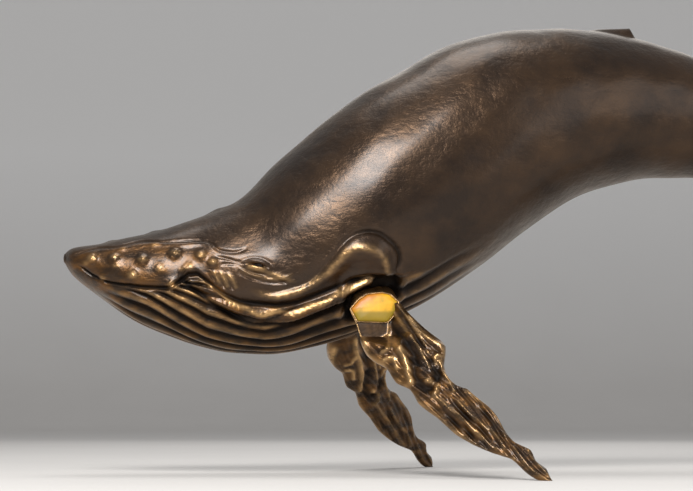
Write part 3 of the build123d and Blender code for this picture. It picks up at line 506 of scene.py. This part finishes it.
    # Recess for the fin's block: a rounded square, |across|^4 + |rise|^4 < 1, in a soft rim, under the lip
    offset = left - SEAT_AT
    across, rise = offset @ SEAT_X, offset @ SEAT_Y
    within = ((across / RECESS_LONG) ** 4 + ((rise - RECESS_RAISED) / RECESS_TALL) ** 4) ** 0.25
    near = np.abs(offset @ SEAT_OUT) < 18
    spared = 0.9 * bell(lip - 0.4, 4.2) * ease(lip_place, 0.5, 0.7) * (1 - ease(lip_place, 0.96, 1.0)) * flank
    push -= RECESS_DEPTH * (1 - ease(within, 0.86, 1.12)) * near * (1 - spared)
    push += 1.2 * bell(within - 1.22, 0.12) * near

    # Slow dents of a third of a millimetre, left by the hand
    hollow = 0.35 * np.sin(x / 9.5 + z / 14) * np.sin(z / 11 - x / 23) + 0.25 * np.sin(x / 5.3 - z / 6.1 + 1)
    push += 0.55 * hollow * ease(share, 0.06, 0.14) * (1 - ease(share, 0.80, 0.92))

    golden = np.where(low < lips_at, 1.0, 0.0) * (1 - ease(share, 0.24, 0.42))
    snout_side = (1 - ease(snout, -1.5, 0.5)) * (1 - ease(share, 0.135, 0.165)) * ease(low, 0.3, 0.6)
    golden = np.maximum(golden, 0.62 * snout_side)
    golden = np.maximum(golden, 0.15 * bell(fold, 4) * fold_on)
    # By deep the hollows darken: dark patina, and painted shade in the mouth groove, the deep creases and the fin's
    # recess
    deep = np.clip((-push - 0.35) / 1.9 + 0.35 * painted_belly_shade, 0, 1)
    layers = {"wear_and_highlight": np.clip(wear_and_highlight, 0, 1) * (1 - deep), "gold": np.clip(golden, 0, 1), "deep": deep}
    return points + out * push[..., None], layers

# Bronze: an 88 percent copper art bronze, lost-wax cast, chased, and patinated hot with ferric nitrate over
# liver of sulphur, then waxed. It gives a deep brown satin skin, cloudy in tone, with metal where hands wear it,
# and painted highlights of the same bright metal on lips, lids, knobs and crests.
PATCH_SIZE, STREAK_SIZE, GRAIN_SIZE = 38.46, 14.286, 2.381


def patinated_bronze(name, dark, mid, worn_and_highlight, golden_dark, golden_worn, base_rough):
    """Cloudy patches give the brown, streaks the golden patina, and "gold" mixes the two. Bright metal shows where
    wear has bared it and where a highlight is painted, broken up by the streaks. By "deep" a groove darkens, with
    dark patina and with painted shade, and loses its gloss and its wax."""
    material, tree, shader = new_material(name, Coat_Roughness=0.24, Coat_Tint=linear("F0DAB6"))
    coords = add(tree, "TexCoord")
    place = [("Vector", coords, "Object")]
    clouds = add(tree, "TexNoise", place, Scale=cells(PATCH_SIZE), Detail=6.0, Roughness=0.62)
    brushed = add(tree, "Mapping", place, Scale=(1.0, 1.0, 2.2))
    streaks = add(tree, "TexNoise", [("Vector", brushed, 0)], Scale=cells(STREAK_SIZE), Detail=5.0,
                  Roughness=0.6)
    grain = add(tree, "TexNoise", place, Scale=cells(GRAIN_SIZE), Detail=3.0, Roughness=0.6)
    wear_and_highlight = add(tree, "Attribute", attribute_name="wear_and_highlight")
    gold = add(tree, "Attribute", attribute_name="gold")
    deep = add(tree, "Attribute", attribute_name="deep")
    brown = add(tree, "ValToRGB", [("Fac", clouds, "Fac")], [(0.36, dark), (0.68, mid)])
    amber = add(tree, "ValToRGB", [("Fac", streaks, "Fac")], [(0.40, golden_dark), (0.64, golden_worn)])
    patchy = add(tree, "MapRange", [("Value", clouds, "Fac")], From_Min=0.35, From_Max=0.62,
                 To_Min=0.45, To_Max=1.0)
    golden = add(tree, "Math", [(0, gold, "Fac"), (1, patchy, 0)], operation="MULTIPLY")
    zoned = add(tree, "Mix", [("Factor", golden, 0), (6, brown, 0), (7, amber, 0)],
                data_type="RGBA")
    broken = add(tree, "MapRange", [("Value", streaks, "Fac")], From_Min=0.38, From_Max=0.62,
                 To_Min=0.35, To_Max=1.0)
    shown = add(tree, "Math", [(0, wear_and_highlight, "Fac"), (1, broken, 0)], operation="MULTIPLY")
    with_wear_and_highlight = add(tree, "Mix", [("Factor", shown, 0), (6, zoned, 2)], data_type="RGBA")
    with_wear_and_highlight.inputs[7].default_value = linear(worn_and_highlight)
    # Near black in the hollows: dark patina and painted shade
    hollow_patina_and_shade = add(tree, "Math", [(0, deep, "Fac")], operation="MULTIPLY")
    hollow_patina_and_shade.inputs[1].default_value = 0.88
    grooved = add(tree, "Mix", [("Factor", hollow_patina_and_shade, 0), (6, with_wear_and_highlight, 2)], data_type="RGBA")
    grooved.inputs[7].default_value = linear("0D0806")
    metal = add(tree, "MapRange", [("Value", shown, 0)], To_Min=0.72, To_Max=0.95)
    satin = add(tree, "MapRange", [("Value", streaks, "Fac")], From_Min=0.3, From_Max=0.7,
                To_Min=base_rough - 0.07, To_Max=base_rough + 0.09)
    dull = add(tree, "Math", [(0, deep, "Fac"), (2, satin, 0)], operation="MULTIPLY_ADD")
    dull.inputs[1].default_value = 0.35
    wax = add(tree, "MapRange", [("Value", deep, "Fac")], To_Min=0.42, To_Max=0.0)
    dents = add(tree, "Bump", [("Height", clouds, "Fac")], Strength=0.8, Distance=0.0030)
    tools = add(tree, "Bump", [("Height", streaks, "Fac"), ("Normal", dents, 0)],
                Strength=0.7, Distance=0.0011)
    fine = add(tree, "Bump", [("Height", grain, "Fac"), ("Normal", tools, 0)],
               Strength=0.35, Distance=0.00018)
    link(tree, shader, [("Base Color", grooved, 2), ("Metallic", metal, 0), ("Roughness", dull, 0),
                        ("Coat Weight", wax, 0), ("Normal", fine, 0)])
    return material


BODY_BRONZE = patinated_bronze(
    "waxed_brown_patina_on_bronze", "271A10", "463321", "D6B07C", "2F1E09", "704A14", 0.34)


def placed(points):
    """Points in millimetres from the beak, carried to the row's frame."""
    return points + np.array([FROM_BEAK, 0, 0])


def with_beak(grid, layers):
    """Rows put ahead of a patch that starts at the beak: its outline shrinks to the middle of the section as the
    cosine of a quarter turn and moves ahead as its sine, so the beak is rounded and closed."""
    turn = np.radians(np.linspace(87, 0, BEAK_ROWS + 1)[:-1])[:, None, None]
    ahead = BEAK_MIDDLE + (grid[0] - BEAK_MIDDLE) * np.cos(turn) - np.array([BEAK_ROUND, 0, 0]) * np.sin(turn)
    layers = {key: np.concatenate([np.repeat(layer[:1], BEAK_ROWS, 0), layer]) for key, layer in layers.items()}
    return np.concatenate([ahead, grid]), layers


def under_mouth(shares, columns):
    """Shares and angles of a patch from the right mouth line round the belly to the left one."""
    turn = np.linspace(-1, 1, columns)
    share = shares[:, None] + 0 * turn[None]
    return share, mouth_angle(share) * turn[None]


# Head casting: the upper jaw, the brow and the shoulders, one lost-wax bronze shell, chased after casting. Its edge
# follows the mouth line, and behind the throat it closes under the chest. The beak is rounded.
BEAK_ROUND, BEAK_ROWS, BEAK_MIDDLE = 0.92, 7, np.array([0.0, 0.0, 139.0])
HEAD_END, THROAT_END = 0.360, 0.253
head_shares = np.concatenate([np.linspace(0, 0.300, 272), np.linspace(0.300, HEAD_END, 34)[1:]])
lean = np.linspace(0, 1, 236)
lean = lean - 0.45 * np.sin(2 * math.pi * lean) / (2 * math.pi)
share = head_shares[:, None] + 0 * lean[None]
start = mouth_angle(share)
head_grid, head_layers = with_beak(*modelled(share, start + (2 * math.pi - 2 * start) * lean[None]))
head = surface("head", placed(head_grid), BODY_BRONZE, head_layers, lid=True, caps=(0, -1))
chest_shares = np.concatenate([[THROAT_END], head_shares[head_shares > THROAT_END]])
chest_grid, chest_layers = modelled(*under_mouth(chest_shares, 150))
chest = surface("chest", placed(chest_grid), BODY_BRONZE, chest_layers, lid=True, caps=(0, -1))
for piece in (head, chest):
    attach(piece, "root")
    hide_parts("head_casting")


# Throat casting: the lower jaw with its long pleats, one bronze shell parted from the head along the mouth line.
throat_grid, throat_layers = with_beak(*modelled(*under_mouth(np.linspace(0, THROAT_END, 236), 260)))
throat = surface("throat", placed(throat_grid), BODY_BRONZE, throat_layers, lid=True, caps=(0, -1))
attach(throat, "root")
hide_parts("throat_casting")


# Back casting: the arched back with its low fin, one bronze shell over a sleeve at both seams.
REAR_END = 0.668


def all_round(first, last, rows, columns):
    """Shares and angles of a patch that goes all the way round the body."""
    angles = np.linspace(0, 2 * math.pi, columns, endpoint=False)
    return np.meshgrid(np.linspace(first, last, rows), angles, indexing="ij")


back_grid, back_layers = modelled(*all_round(HEAD_END, REAR_END, 200, 260))
back = surface("back", placed(back_grid), BODY_BRONZE, back_layers, wrap=True, caps=(0, -1))
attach(back, "root")
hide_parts("back_casting")


# Tail casting: the tail stock, bent down to the floor behind. The photograph cuts it off, so it follows the
# proportions of the living animal.
tail_grid, tail_layers = modelled(*all_round(REAR_END, 1.0, 190, 160))
tail = surface("tail", placed(tail_grid), BODY_BRONZE, tail_layers, wrap=True, caps=(0, -1))
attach(tail, "root")
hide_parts("tail_casting")

# Flukes: one bronze casting, a wide lens-like plate with a ragged rear edge on a flattened neck. It hangs from the
# tail by a pinned tenon, and the tips of its lobes rest on the floor. Rows give, by share of the half span, the
# front and rear edge as shares of the drop to the floor, and a share of the thickness.
HALF_SPAN, FLUKE_THICK, NECK_LONG, NECK_WIDE, NECK_THICK = 100.0, 13.0, 34.0, 19.0, 4.5
FLUKE_ROWS = np.array([
    (0.00, 0.10, 0.66, 1.00), (0.20, 0.22, 0.75, 0.88), (0.44, 0.41, 0.81, 0.67), (0.68, 0.60, 0.85, 0.46),
    (0.86, 0.79, 0.95, 0.33), (1.00, 0.955, 1.03, 0.22),
])
tail_rise = BODY_ROWS[-1, 0:2] - BODY_ROWS[-1, 2:4]
tail_tall = np.hypot(*tail_rise)
tail_x, tail_z = (BODY_ROWS[-1, 0:2] + BODY_ROWS[-1, 2:4]) / 2
thick_way = np.array([tail_rise[0], 0, tail_rise[1]]) / tail_tall
drop_way = np.array([thick_way[2], 0, -thick_way[0]])
drop = tail_z / thick_way[0]
tail_middle = np.array([tail_x, 0, tail_z])


def fluke_plate(rows, columns):
    """Across the span both edges follow curves through the rows, and each section is a lens whose half thickness
    is sin(pi v)^0.6. Shallow rays fan out on both faces, and the rear edge waves with two sines."""
    span = np.sin(np.linspace(1, -1, rows) * math.pi / 2)[:, None]
    lead, trail, thick = np.moveaxis(curve_through(FLUKE_ROWS[:, 0], FLUKE_ROWS[:, 1:], np.abs(span)), -1, 0)
    trail = trail + (0.011 * np.sin(span * 41 + 1) + 0.008 * np.sin(span * 97)) * (1 - np.abs(span) ** 6)
    trail = trail - 0.10 * bell(span, 0.045)
    round_off = np.sqrt(1 - np.clip((np.abs(span) - 0.93) / 0.07, 0, 0.985) ** 2)
    turn = np.linspace(0, 2, columns, endpoint=False)[None]
    upper = turn < 1
    v = np.where(upper, turn, 2 - turn)
    chord = (trail - lead) * round_off
    along = (lead + trail) / 2 - chord / 2 * np.cos(math.pi * v)
    lens = np.sin(math.pi * np.clip(v, 0, 1)) ** 0.6
    rays = np.sin((along - 0.2) * 9 + np.abs(span) * 46) * np.sin(np.abs(span) * 13 + 2)
    relief = 0.3 * rays * np.clip(lens * 1.4 - 0.3, 0, 1) * round_off
    half = thick * round_off * FLUKE_THICK / 2 * lens + relief
    side = np.where(upper, 1.0, -1.0)
    points = (tail_middle + (along * drop)[..., None] * drop_way + (side * half)[..., None] * thick_way
              + (span * HALF_SPAN + 0 * v)[..., None] * np.array([0, 1.0, 0]))
    points[..., 2] = np.maximum(points[..., 2], 0.0)
    wear_and_highlight = 0.4 * (1 - lens) ** 2 + 0.06 * np.clip(rays, 0, 1)
    return points, {"wear_and_highlight": wear_and_highlight, "gold": 0.15 + 0 * wear_and_highlight, "deep": 0.12 * np.clip(-rays, 0, 1) * lens}


# Neck: an oval tube whose half width and half thickness go from the tail's to the plate's by a smooth cubic
along, around = np.meshgrid(
    np.linspace(0, 1, 40), np.linspace(0, 2 * math.pi, 96, endpoint=False), indexing="ij")
flare = ease(along, 0, 1)
neck_half = BODY_ROWS[-1, 4] * (1 - flare) + NECK_WIDE * flare
neck_thick = tail_tall / 2 * (1 - flare) + NECK_THICK * flare
neck_grid = (tail_middle + (along * NECK_LONG)[..., None] * drop_way
             - (neck_half * np.sin(around))[..., None] * np.array([0, 1.0, 0])
             - (neck_thick * np.cos(around))[..., None] * thick_way)
neck_layers = {"wear_and_highlight": 0.1 * along, "gold": 0.15 * along, "deep": 0 * along}
for name, (grid, layers) in [("fluke_neck", (neck_grid, neck_layers)), ("fluke_plate", fluke_plate(321, 72))]:
    piece = surface(name, placed(grid), BODY_BRONZE, layers, wrap=True, caps=(0, -1))
    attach(piece, "root")
    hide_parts("flukes")
# Pectoral fins: each is a golden-brown bronze casting of its own, a long blade like driftwood, with carved ridges
# on both faces. It grows out of a faceted block on the shoulder and stands on the floor with its tip. Sizes are the
# left fin's, and the right one is its mirror image. Edges give a share of the length, then the place across.
BLADE_ROOT, BLADE_TIP = np.array([195.6, -54.0, 108.0]), np.array([276.1, -160.0, 0.0])
BLADE_LENGTH = np.linalg.norm(BLADE_TIP - BLADE_ROOT)
BLADE_AXIS = (BLADE_TIP - BLADE_ROOT) / BLADE_LENGTH
BLADE_CHORD = np.array([0.8018, 0.0, 0.5976])
BLADE_OUT = np.array([-0.3696, -0.7859, 0.4958])
LEADING = np.array([
    (-.054, -15.5), (.023, -19.3), (.091, -25.3), (.141, -27.6), (.200, -26.6), (.241, -24.4), (.319, -26.1),
    (.371, -22.9), (.440, -24.8), (.531, -22.7), (.633, -21.3), (.710, -17.7), (.785, -12.5), (.846, -7.1),
    (.911, -6.4), (.970, -4.4), (1.002, -1.6), (1.02, -1.2),
])
TRAILING = np.array([
    (-.054, 9.0), (.052, 10.9), (.092, 10.4), (.184, 10.7), (.265, 12.2), (.322, 12.3), (.353, 7.8),
    (.380, 3.4), (.445, -.4), (.485, .5), (.518, 3.3), (.558, 3.9), (.625, 5.3), (.683, 4.8), (.736, 2.5),
    (.809, 1.8), (.868, 5.2), (.912, 3.0), (.961, 4.1), (.993, 2.3), (1.02, 1.6),
])
BLADE_THICK = np.array([
    (-.054, 12.0), (.0, 13.2), (.09, 14.2), (.15, 13.4), (.20, 12.4), (.26, 11.6), (.32, 11.2), (.37, 10.4),
    (.44, 9.6), (.53, 8.6), (.63, 7.8), (.71, 7.0), (.785, 6.2), (.85, 5.6), (.91, 4.9), (.97, 4.3),
    (1.02, 3.6),
])
# Ridges and valleys: height and width in millimetres, then the line as share of the length and place across
RIDGES = [
    (3.4, 2.2, [(.105, -6.0), (.125, -7.8), (.17, -9.5), (.235, -11.2), (.297, -14), (.364, -19.3)]),
    (2.2, 1.6, [(.193, -20.4), (.2, -17.3), (.182, -11.8)]),
    (2.2, 1.5, [(.222, -22.1), (.239, -18.3), (.269, -18.9), (.283, -20)]),
    (2.0, 1.0, [(.08, 3.4), (.128, 2.4), (.203, .7), (.271, -1.3), (.343, -4.1), (.368, -4.8)]),
    (1.5, 0.9, [(.07, 8.2), (.111, 7.4), (.195, 4.5), (.267, 3.1), (.319, .3)]),
    (2.2, 1.8, [(.14, 8.5), (.218, 6.8), (.287, 8.4), (.335, 10), (.36, 7.5), (.346, 3.3), (.37, -1.1)]),
    (2.4, 1.5, [(.371, 2.6), (.428, -.9), (.478, -2.3), (.504, -4.4)]),
    (-3.0, 2.6, [(.30, -9.5), (.348, -15.3), (.398, -16.6), (.43, -14.2), (.407, -4.7), (.346, -1.9)]),
    (-2.2, 1.8, [(.10, -1.5), (.18, -3.8), (.26, -6.0), (.33, -9.0)]),
    (-1.8, 1.6, [(.12, 5.2), (.20, 2.9), (.29, 1.3), (.33, 5.5)]),
    (2.8, 1.9, [(.404, -12.1), (.436, -9.8), (.462, -11.9), (.47, -15.5)]),
    (2.8, 2.4, [(.09, -22), (.117, -26), (.155, -28.8), (.196, -28.6), (.229, -26.2)]),
    (1.8, 2.0, [(.362, -24.8), (.426, -25.3), (.507, -24.2), (.6, -22.3), (.691, -19), (.776, -15.1),
                (.856, -6.9)]),
    (1.8, 1.6, [(.484, -14.7), (.569, -13), (.639, -12), (.704, -11.8), (.786, -10)]),
    (-1.6, 1.7, [(.50, -19), (.60, -17), (.70, -14.8), (.79, -11.8)]),
    (1.6, 1.3, [(.549, -6.5), (.621, -7), (.681, -6.1), (.726, -4.5), (.806, -6.4)]),
    (-1.5, 1.5, [(.53, -10), (.62, -9.6), (.70, -8.6), (.78, -7.6)]),
    (1.6, 1.4, [(.518, 1.5), (.588, 3.9), (.653, 5.5), (.71, 4.2), (.769, 0)]),
    (-1.4, 1.5, [(.50, -1.5), (.58, -1.2), (.66, 0.4), (.74, -1.4)]),
    (1.5, 1.2, [(.825, -1.3), (.894, -3.3), (.961, -2.4), (1.008, -.1)]),
    (1.3, 1.1, [(.862, 3.8), (.931, 1.8), (.993, 2)]),
]
# Block: its foot on the body, sunk 3 mm, and its face, each with an outline in its own plane
BLOCK_SIZE, FOOT_SIZE, INLAY_RADIUS = [32, 31], [27, 20], 14
FOOT_AT = SEAT_AT - SEAT_OUT * 3
FACE_AT = FOOT_AT + np.array([-1.7, -21.6, -11.8])
FACE_X = np.array([math.cos(math.radians(7)), -math.sin(math.radians(7)), 0])
FACE_OUT = np.array([-0.1194, -0.9726, 0.1994])
FACE_Y = np.cross(FACE_OUT, FACE_X)
FACE_CORNERS = np.array([
    (-.50, .14), (-.34, .33), (-.16, .46), (.15, .50), (.33, .46), (.50, .29), (.46, .08), (.28, -.15),
    (.26, -.40), (.08, -.50), (-.28, -.48), (-.36, -.19),
]) * BLOCK_SIZE
FOOT_CORNERS = np.array([
    (-.50, .10), (-.46, .34), (-.28, .50), (.08, .50), (.34, .50), (.50, .32), (.50, .02), (.50, -.24),
    (.32, -.50), (.08, -.50), (-.28, -.50), (-.50, -.24),
]) * FOOT_SIZE
INLAY_CORNERS = np.concatenate([FACE_CORNERS[:8], np.array([(.20, -.16), (-.36, -.14)]) * BLOCK_SIZE])
INLAY_MIDDLE = INLAY_CORNERS.mean(0)


def traced_edge(edge, run):
    """Two fifths of the straight way between the edge's points, and three fifths of the cubic through them."""
    straight = np.interp(run, edge[:, 0], edge[:, 1])
    return 0.4 * straight + 0.6 * curve_through(edge[:, 0], edge[:, 1:], run)[..., 0]


def blade(rows, half_columns):
    """The blade: across it runs a lens between the traced edges, thick by sin(pi v)^0.7, and each face is pushed
    out by the ridges, or in by the valleys, as bells of the distance to their lines. By the root it stays behind
    the block's face, and grows out past the face's lower and rear edge."""
    run = np.linspace(LEADING[0, 0], LEADING[-1, 0], rows)[:, None]
    lead, trail = traced_edge(LEADING, run), traced_edge(TRAILING, run)
    thick = np.interp(run, BLADE_THICK[:, 0], BLADE_THICK[:, 1])
    turn = np.linspace(0, 2, 2 * half_columns, endpoint=False)[None]
    outer = turn < 1
    v = np.where(outer, turn, 2 - turn)
    across = lead + (trail - lead) * (1 - np.cos(math.pi * v)) / 2
    lens = np.sin(math.pi * np.clip(v, 0, 1)) ** 0.7
    flat = np.stack([run * BLADE_LENGTH + 0 * across, across], -1)
    push, wear_and_highlight = np.zeros_like(across), np.zeros_like(across)
    for height, width, line in RIDGES:
        traced = np.array(line) * np.array([BLADE_LENGTH, 1.0])
        reach, place = line_reach(flat, traced)
        shape = bell(reach, width) * np.sin(math.pi * (0.12 + 0.76 * place)) ** 0.5
        push += height * 0.85 * shape
        wear_and_highlight += np.clip(height / 2.6, -0.6, 1) * bell(reach, width * 0.8)
    grain = 0.35 * np.sin(across * 1.7 + 5 * np.sin(run * 9)) + 0.3 * np.sin(across * 0.9 - run * 40)
    push = (push + grain * ease(run, 0.05, 0.2)) * np.clip(lens * 1.5, 0, 1)
    push = np.where(outer, push, 0.7 * push)
    half = np.maximum(thick / 2 * lens + push - 0.6, 0.25 * lens)
    side = np.where(outer, 1.0, -1.0)
    points = (BLADE_ROOT + run[..., None] * BLADE_LENGTH * BLADE_AXIS + across[..., None] * BLADE_CHORD
              + (side * half)[..., None] * BLADE_OUT)
    offset = points - FACE_AT
    face_x, face_y, proud = offset @ FACE_X, offset @ FACE_Y, offset @ FACE_OUT
    most = 1.3 * np.clip(-13.0 - face_y, 0, None) + 1.1 * np.clip(face_x - 10.5, 0, None) - 0.7
    most = most - 0.9 * (0.5 + 0.5 * np.cos(across * 1.3 - run * 6)) * ease(face_x, 9, 12)
    points = points - np.clip(proud - most, 0, None)[..., None] * FACE_OUT * (run < 0.3)[..., None]
    points[..., 2] = np.maximum(points[..., 2], 0.0)
    # Bright ridges and edges, more of them near the root: wear and painted highlight
    near_root = 1 - 0.55 * ease(run, 0.30, 0.50)
    wear_and_highlight = np.clip(wear_and_highlight, 0, 1) * near_root + 0.35 * (1 - lens) ** 2
    deep = np.clip((-push - 0.1) / 1.6, 0, 1)
    return points, {"wear_and_highlight": np.clip(wear_and_highlight, 0, 1), "gold": 0.85 + 0 * wear_and_highlight, "deep": deep}


def for_side(side, grid, layers):
    """The left fin's grid, or its mirror image with the rows reversed so that its faces still look outwards."""
    if side == "left":
        return grid, layers
    return (grid * np.array([1, -1, 1]))[::-1], {key: layer[::-1] for key, layer in layers.items()}
def divided(corners, pieces, soften=0.12):
    """A closed outline with each side cut into equal pieces, and its corners eased a little."""
    step = np.linspace(0, 1, pieces, endpoint=False)[None, :, None]
    after = np.roll(corners, -1, axis=0)
    line = (corners[:, None] * (1 - step) + after[:, None] * step).reshape(-1, 2)
    return line * (1 - soften) + (np.roll(line, 1, 0) + np.roll(line, -1, 0)) * soften / 2


def on_face(flat, lift=0.0):
    """A flat outline laid on the block's face, and lifted off it."""
    return FACE_AT + flat[:, :1] * FACE_X + flat[:, 1:] * FACE_Y + FACE_OUT * lift


def block():
    """The block: its outline goes in straight lines from the foot to the face, whose edge is bright with wear and a
    painted highlight, and then shrinks to the middle of the flat face."""
    foot, face = divided(FOOT_CORNERS, 8), divided(FACE_CORNERS, 8)
    rows, wear_and_highlight = [FOOT_AT + foot[:, :1] * SEAT_X + foot[:, 1:] * SEAT_Y], [0.0]
    for step in np.linspace(0.04, 0.97, 34):
        flare = foot * (1 - step) + face * step
        way_x, way_y = SEAT_X * (1 - step) + FACE_X * step, SEAT_Y * (1 - step) + FACE_Y * step
        rows.append(FOOT_AT * (1 - step) + FACE_AT * step + flare[:, :1] * way_x + flare[:, 1:] * way_y)
        wear_and_highlight.append(0.25 * step)
    for grow, lift, worn_and_highlight in [(0.995, -0.3, 0.7), (0.98, 0.0, 1.0), (0.95, 0.05, 0.4), (0.92, -0.05, 0.05)]:
        rows.append(on_face(face * grow, lift))
        wear_and_highlight.append(worn_and_highlight)
    shrinks = np.linspace(0.88, 0.06, 14)
    rows += [on_face(face * shrink, -0.1) for shrink in shrinks]
    none = np.zeros((len(rows), len(foot)))
    wear_and_highlight = np.array(wear_and_highlight + [0.0] * len(shrinks))[:, None] + none
    facet = np.arange(len(rows))[:, None] >= len(rows) - len(shrinks)
    return np.array(rows), {"wear_and_highlight": wear_and_highlight, "gold": 0.45 + none, "deep": 0.5 * facet + none}


def rim(line, turns):
    """The rim: a small oval carried round the inlay's outline, in and out by its cosine and up by its sine."""
    rows = [on_face(line * (1 - 0.55 / INLAY_RADIUS + 0.034 * math.cos(angle)) + INLAY_MIDDLE,
                    0.15 + 0.50 * math.sin(angle)) for angle in np.linspace(0, 2 * math.pi, turns + 1)[:-1]]
    grid = np.array(rows + rows[:1])
    return grid, {"wear_and_highlight": 0.75 + 0 * grid[..., 0], "gold": 1 + 0 * grid[..., 0]}


FIN_BRONZE = patinated_bronze(
    "golden_brown_bronze_with_wear_and_highlight", "20140A", "442C0D", "DFBA86", "301E0B", "78521E", 0.30)
inlay_line = divided(INLAY_CORNERS - INLAY_MIDDLE, 12, 0.5)
fin_parts = [("pectoral_blade_", blade(330, 64), (0, -1)), ("shoulder_block_", block(), (0, -1)),
             ("inlay_rim_", rim(inlay_line, 12), ())]
for side in ("left", "right"):
    for label, part, caps in fin_parts:
        grid, layers = for_side(side, *part)
        piece = surface(label + side, placed(grid), FIN_BRONZE, layers, wrap=True, caps=caps)
        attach(piece, "root")
        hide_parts("pectoral_fin_" + side)


# Yellow caps: a domed piece of enamel glass set in each block's face inside its rim. Steps give the outline's size
# as a share, and its lift off the face. It turns olive below and at the rear, and orange at the upper front.
CAP_STEPS = [(1.0, -3.5), (1.0, -0.2), (0.985, 0.35), (0.95, 0.8), (0.90, 1.15), (0.83, 1.45), (0.74, 1.65)]
CAP_STEPS += [(k, 1.65 + 0.5 * (1 - (k / 0.74) ** 2)) for k in np.linspace(0.66, 0.05, 12)]
cap_line = inlay_line * (1 - 1.05 / INLAY_RADIUS)
cap_grid = np.array([on_face(cap_line * size + INLAY_MIDDLE, lift) for size, lift in CAP_STEPS])
cap_aft, cap_up = np.moveaxis(np.array([cap_line * size for size, _ in CAP_STEPS]), -1, 0)
cap_shade = np.clip(ease(-cap_up, 2.0, 4.5) + 0.8 * ease(cap_aft - cap_up * 0.3, 8, 13), 0, 1) * 0.85
cap_layers = {"shade": cap_shade, "warm": ease(-cap_aft + 1.6 * cap_up, 6, 15) * 0.9}

# Vitreous enamel: coloured glass fired on metal, a little cloudy and pitted, with a soft gloss

enamel, tree, shader = new_material(
    "yellow_enamel_glass", Roughness=0.48, Coat_Weight=0.08, Coat_Roughness=0.15)
coords = add(tree, "TexCoord")
clouds = add(tree, "TexNoise", [("Vector", coords, "Object")], Scale=cells(11.11), Detail=5.0,
             Roughness=0.6)
colours = add(tree, "ValToRGB", [("Fac", clouds, "Fac")],
              [(0.34, "9E8004"), (0.5, "D49C0A"), (0.66, "E8AE10")])
shade = add(tree, "Attribute", attribute_name="shade")
olive = add(tree, "Mix", [("Factor", shade, "Fac"), (6, colours, 0)], data_type="RGBA")
olive.inputs[7].default_value = linear("7E6C05")
warm = add(tree, "Attribute", attribute_name="warm")
orange = add(tree, "Mix", [("Factor", warm, "Fac"), (6, olive, 2)], data_type="RGBA")
orange.inputs[7].default_value = linear("C07218")
pits = add(tree, "Bump", [("Height", clouds, "Fac")], Strength=0.25, Distance=0.0006)
link(tree, shader, [("Base Color", orange, 2), ("Normal", pits, 0)])
for side in ("left", "right"):
    grid, layers = for_side(side, cap_grid, cap_layers)
    piece = surface("yellow_cap_" + side, placed(grid), enamel, layers, wrap=True, caps=(0, -1))
    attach(piece, "root")
    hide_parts("shoulder_inlay_" + side)


# Fixings: turned bronze sleeves inside both seams, dowels in the throat and fins, a pin in the flukes, and a steel
# stud with its nut inside each fin. They stay as built, and none shows once the whale is together.
def turned_metal(name, dark, light, rough):
    """Bare metal off the lathe: fine noise gives its tone, the spread of its gloss and the cuts of the tool."""
    material, tree, shader = new_material(name, Metallic=1.0)
    coords = add(tree, "TexCoord")
    rings = add(tree, "TexNoise", [("Vector", coords, "Object")], Scale=cells(1.667), Detail=3.0)
    tone = add(tree, "ValToRGB", [("Fac", rings, "Fac")], [(0, dark), (1, light)])
    satin = add(tree, "MapRange", [("Value", rings, "Fac")],
                To_Min=rough - 0.08, To_Max=rough + 0.08)
    cuts = add(tree, "Bump", [("Height", rings, "Fac")], Strength=0.4, Distance=0.0001)
    link(tree, shader, [("Base Color", tone, 0), ("Roughness", satin, 0), ("Normal", cuts, 0)])
    return material


BARE_BRONZE = turned_metal("turned_bare_bronze", "8A6A3C", "B08C58", 0.34)
STEEL = turned_metal("machined_steel", "8C8F93", "B4B7BA", 0.30)
for name in ("front_sleeve", "rear_sleeve", "throat_dowels", "fin_dowels", "fluke_pin"):
    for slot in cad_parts[name].material_slots:
        slot.material = BARE_BRONZE
for name in ("fin_stud_left", "fin_stud_right", "fin_nut_left", "fin_nut_right"):
    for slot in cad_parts[name].material_slots:
        slot.material = STEEL
# Eyes: a dark glass bead in a bored socket behind the lids, polished, so only its wet gleam shows.
eye_glass, tree, shader = new_material("dark_polished_glass", Roughness=0.08)
coords = add(tree, "TexCoord")
mist = add(tree, "TexNoise", [("Vector", coords, "Object")], Scale=cells(3.333), Detail=2.0)
depth = add(tree, "ValToRGB", [("Fac", mist, "Fac")], [(0, "0A0705"), (1, "1C130C")])
link(tree, shader, [("Base Color", depth, 0)])
for name in ("eye_left", "eye_right"):
    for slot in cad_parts[name].material_slots:
        slot.material = eye_glass
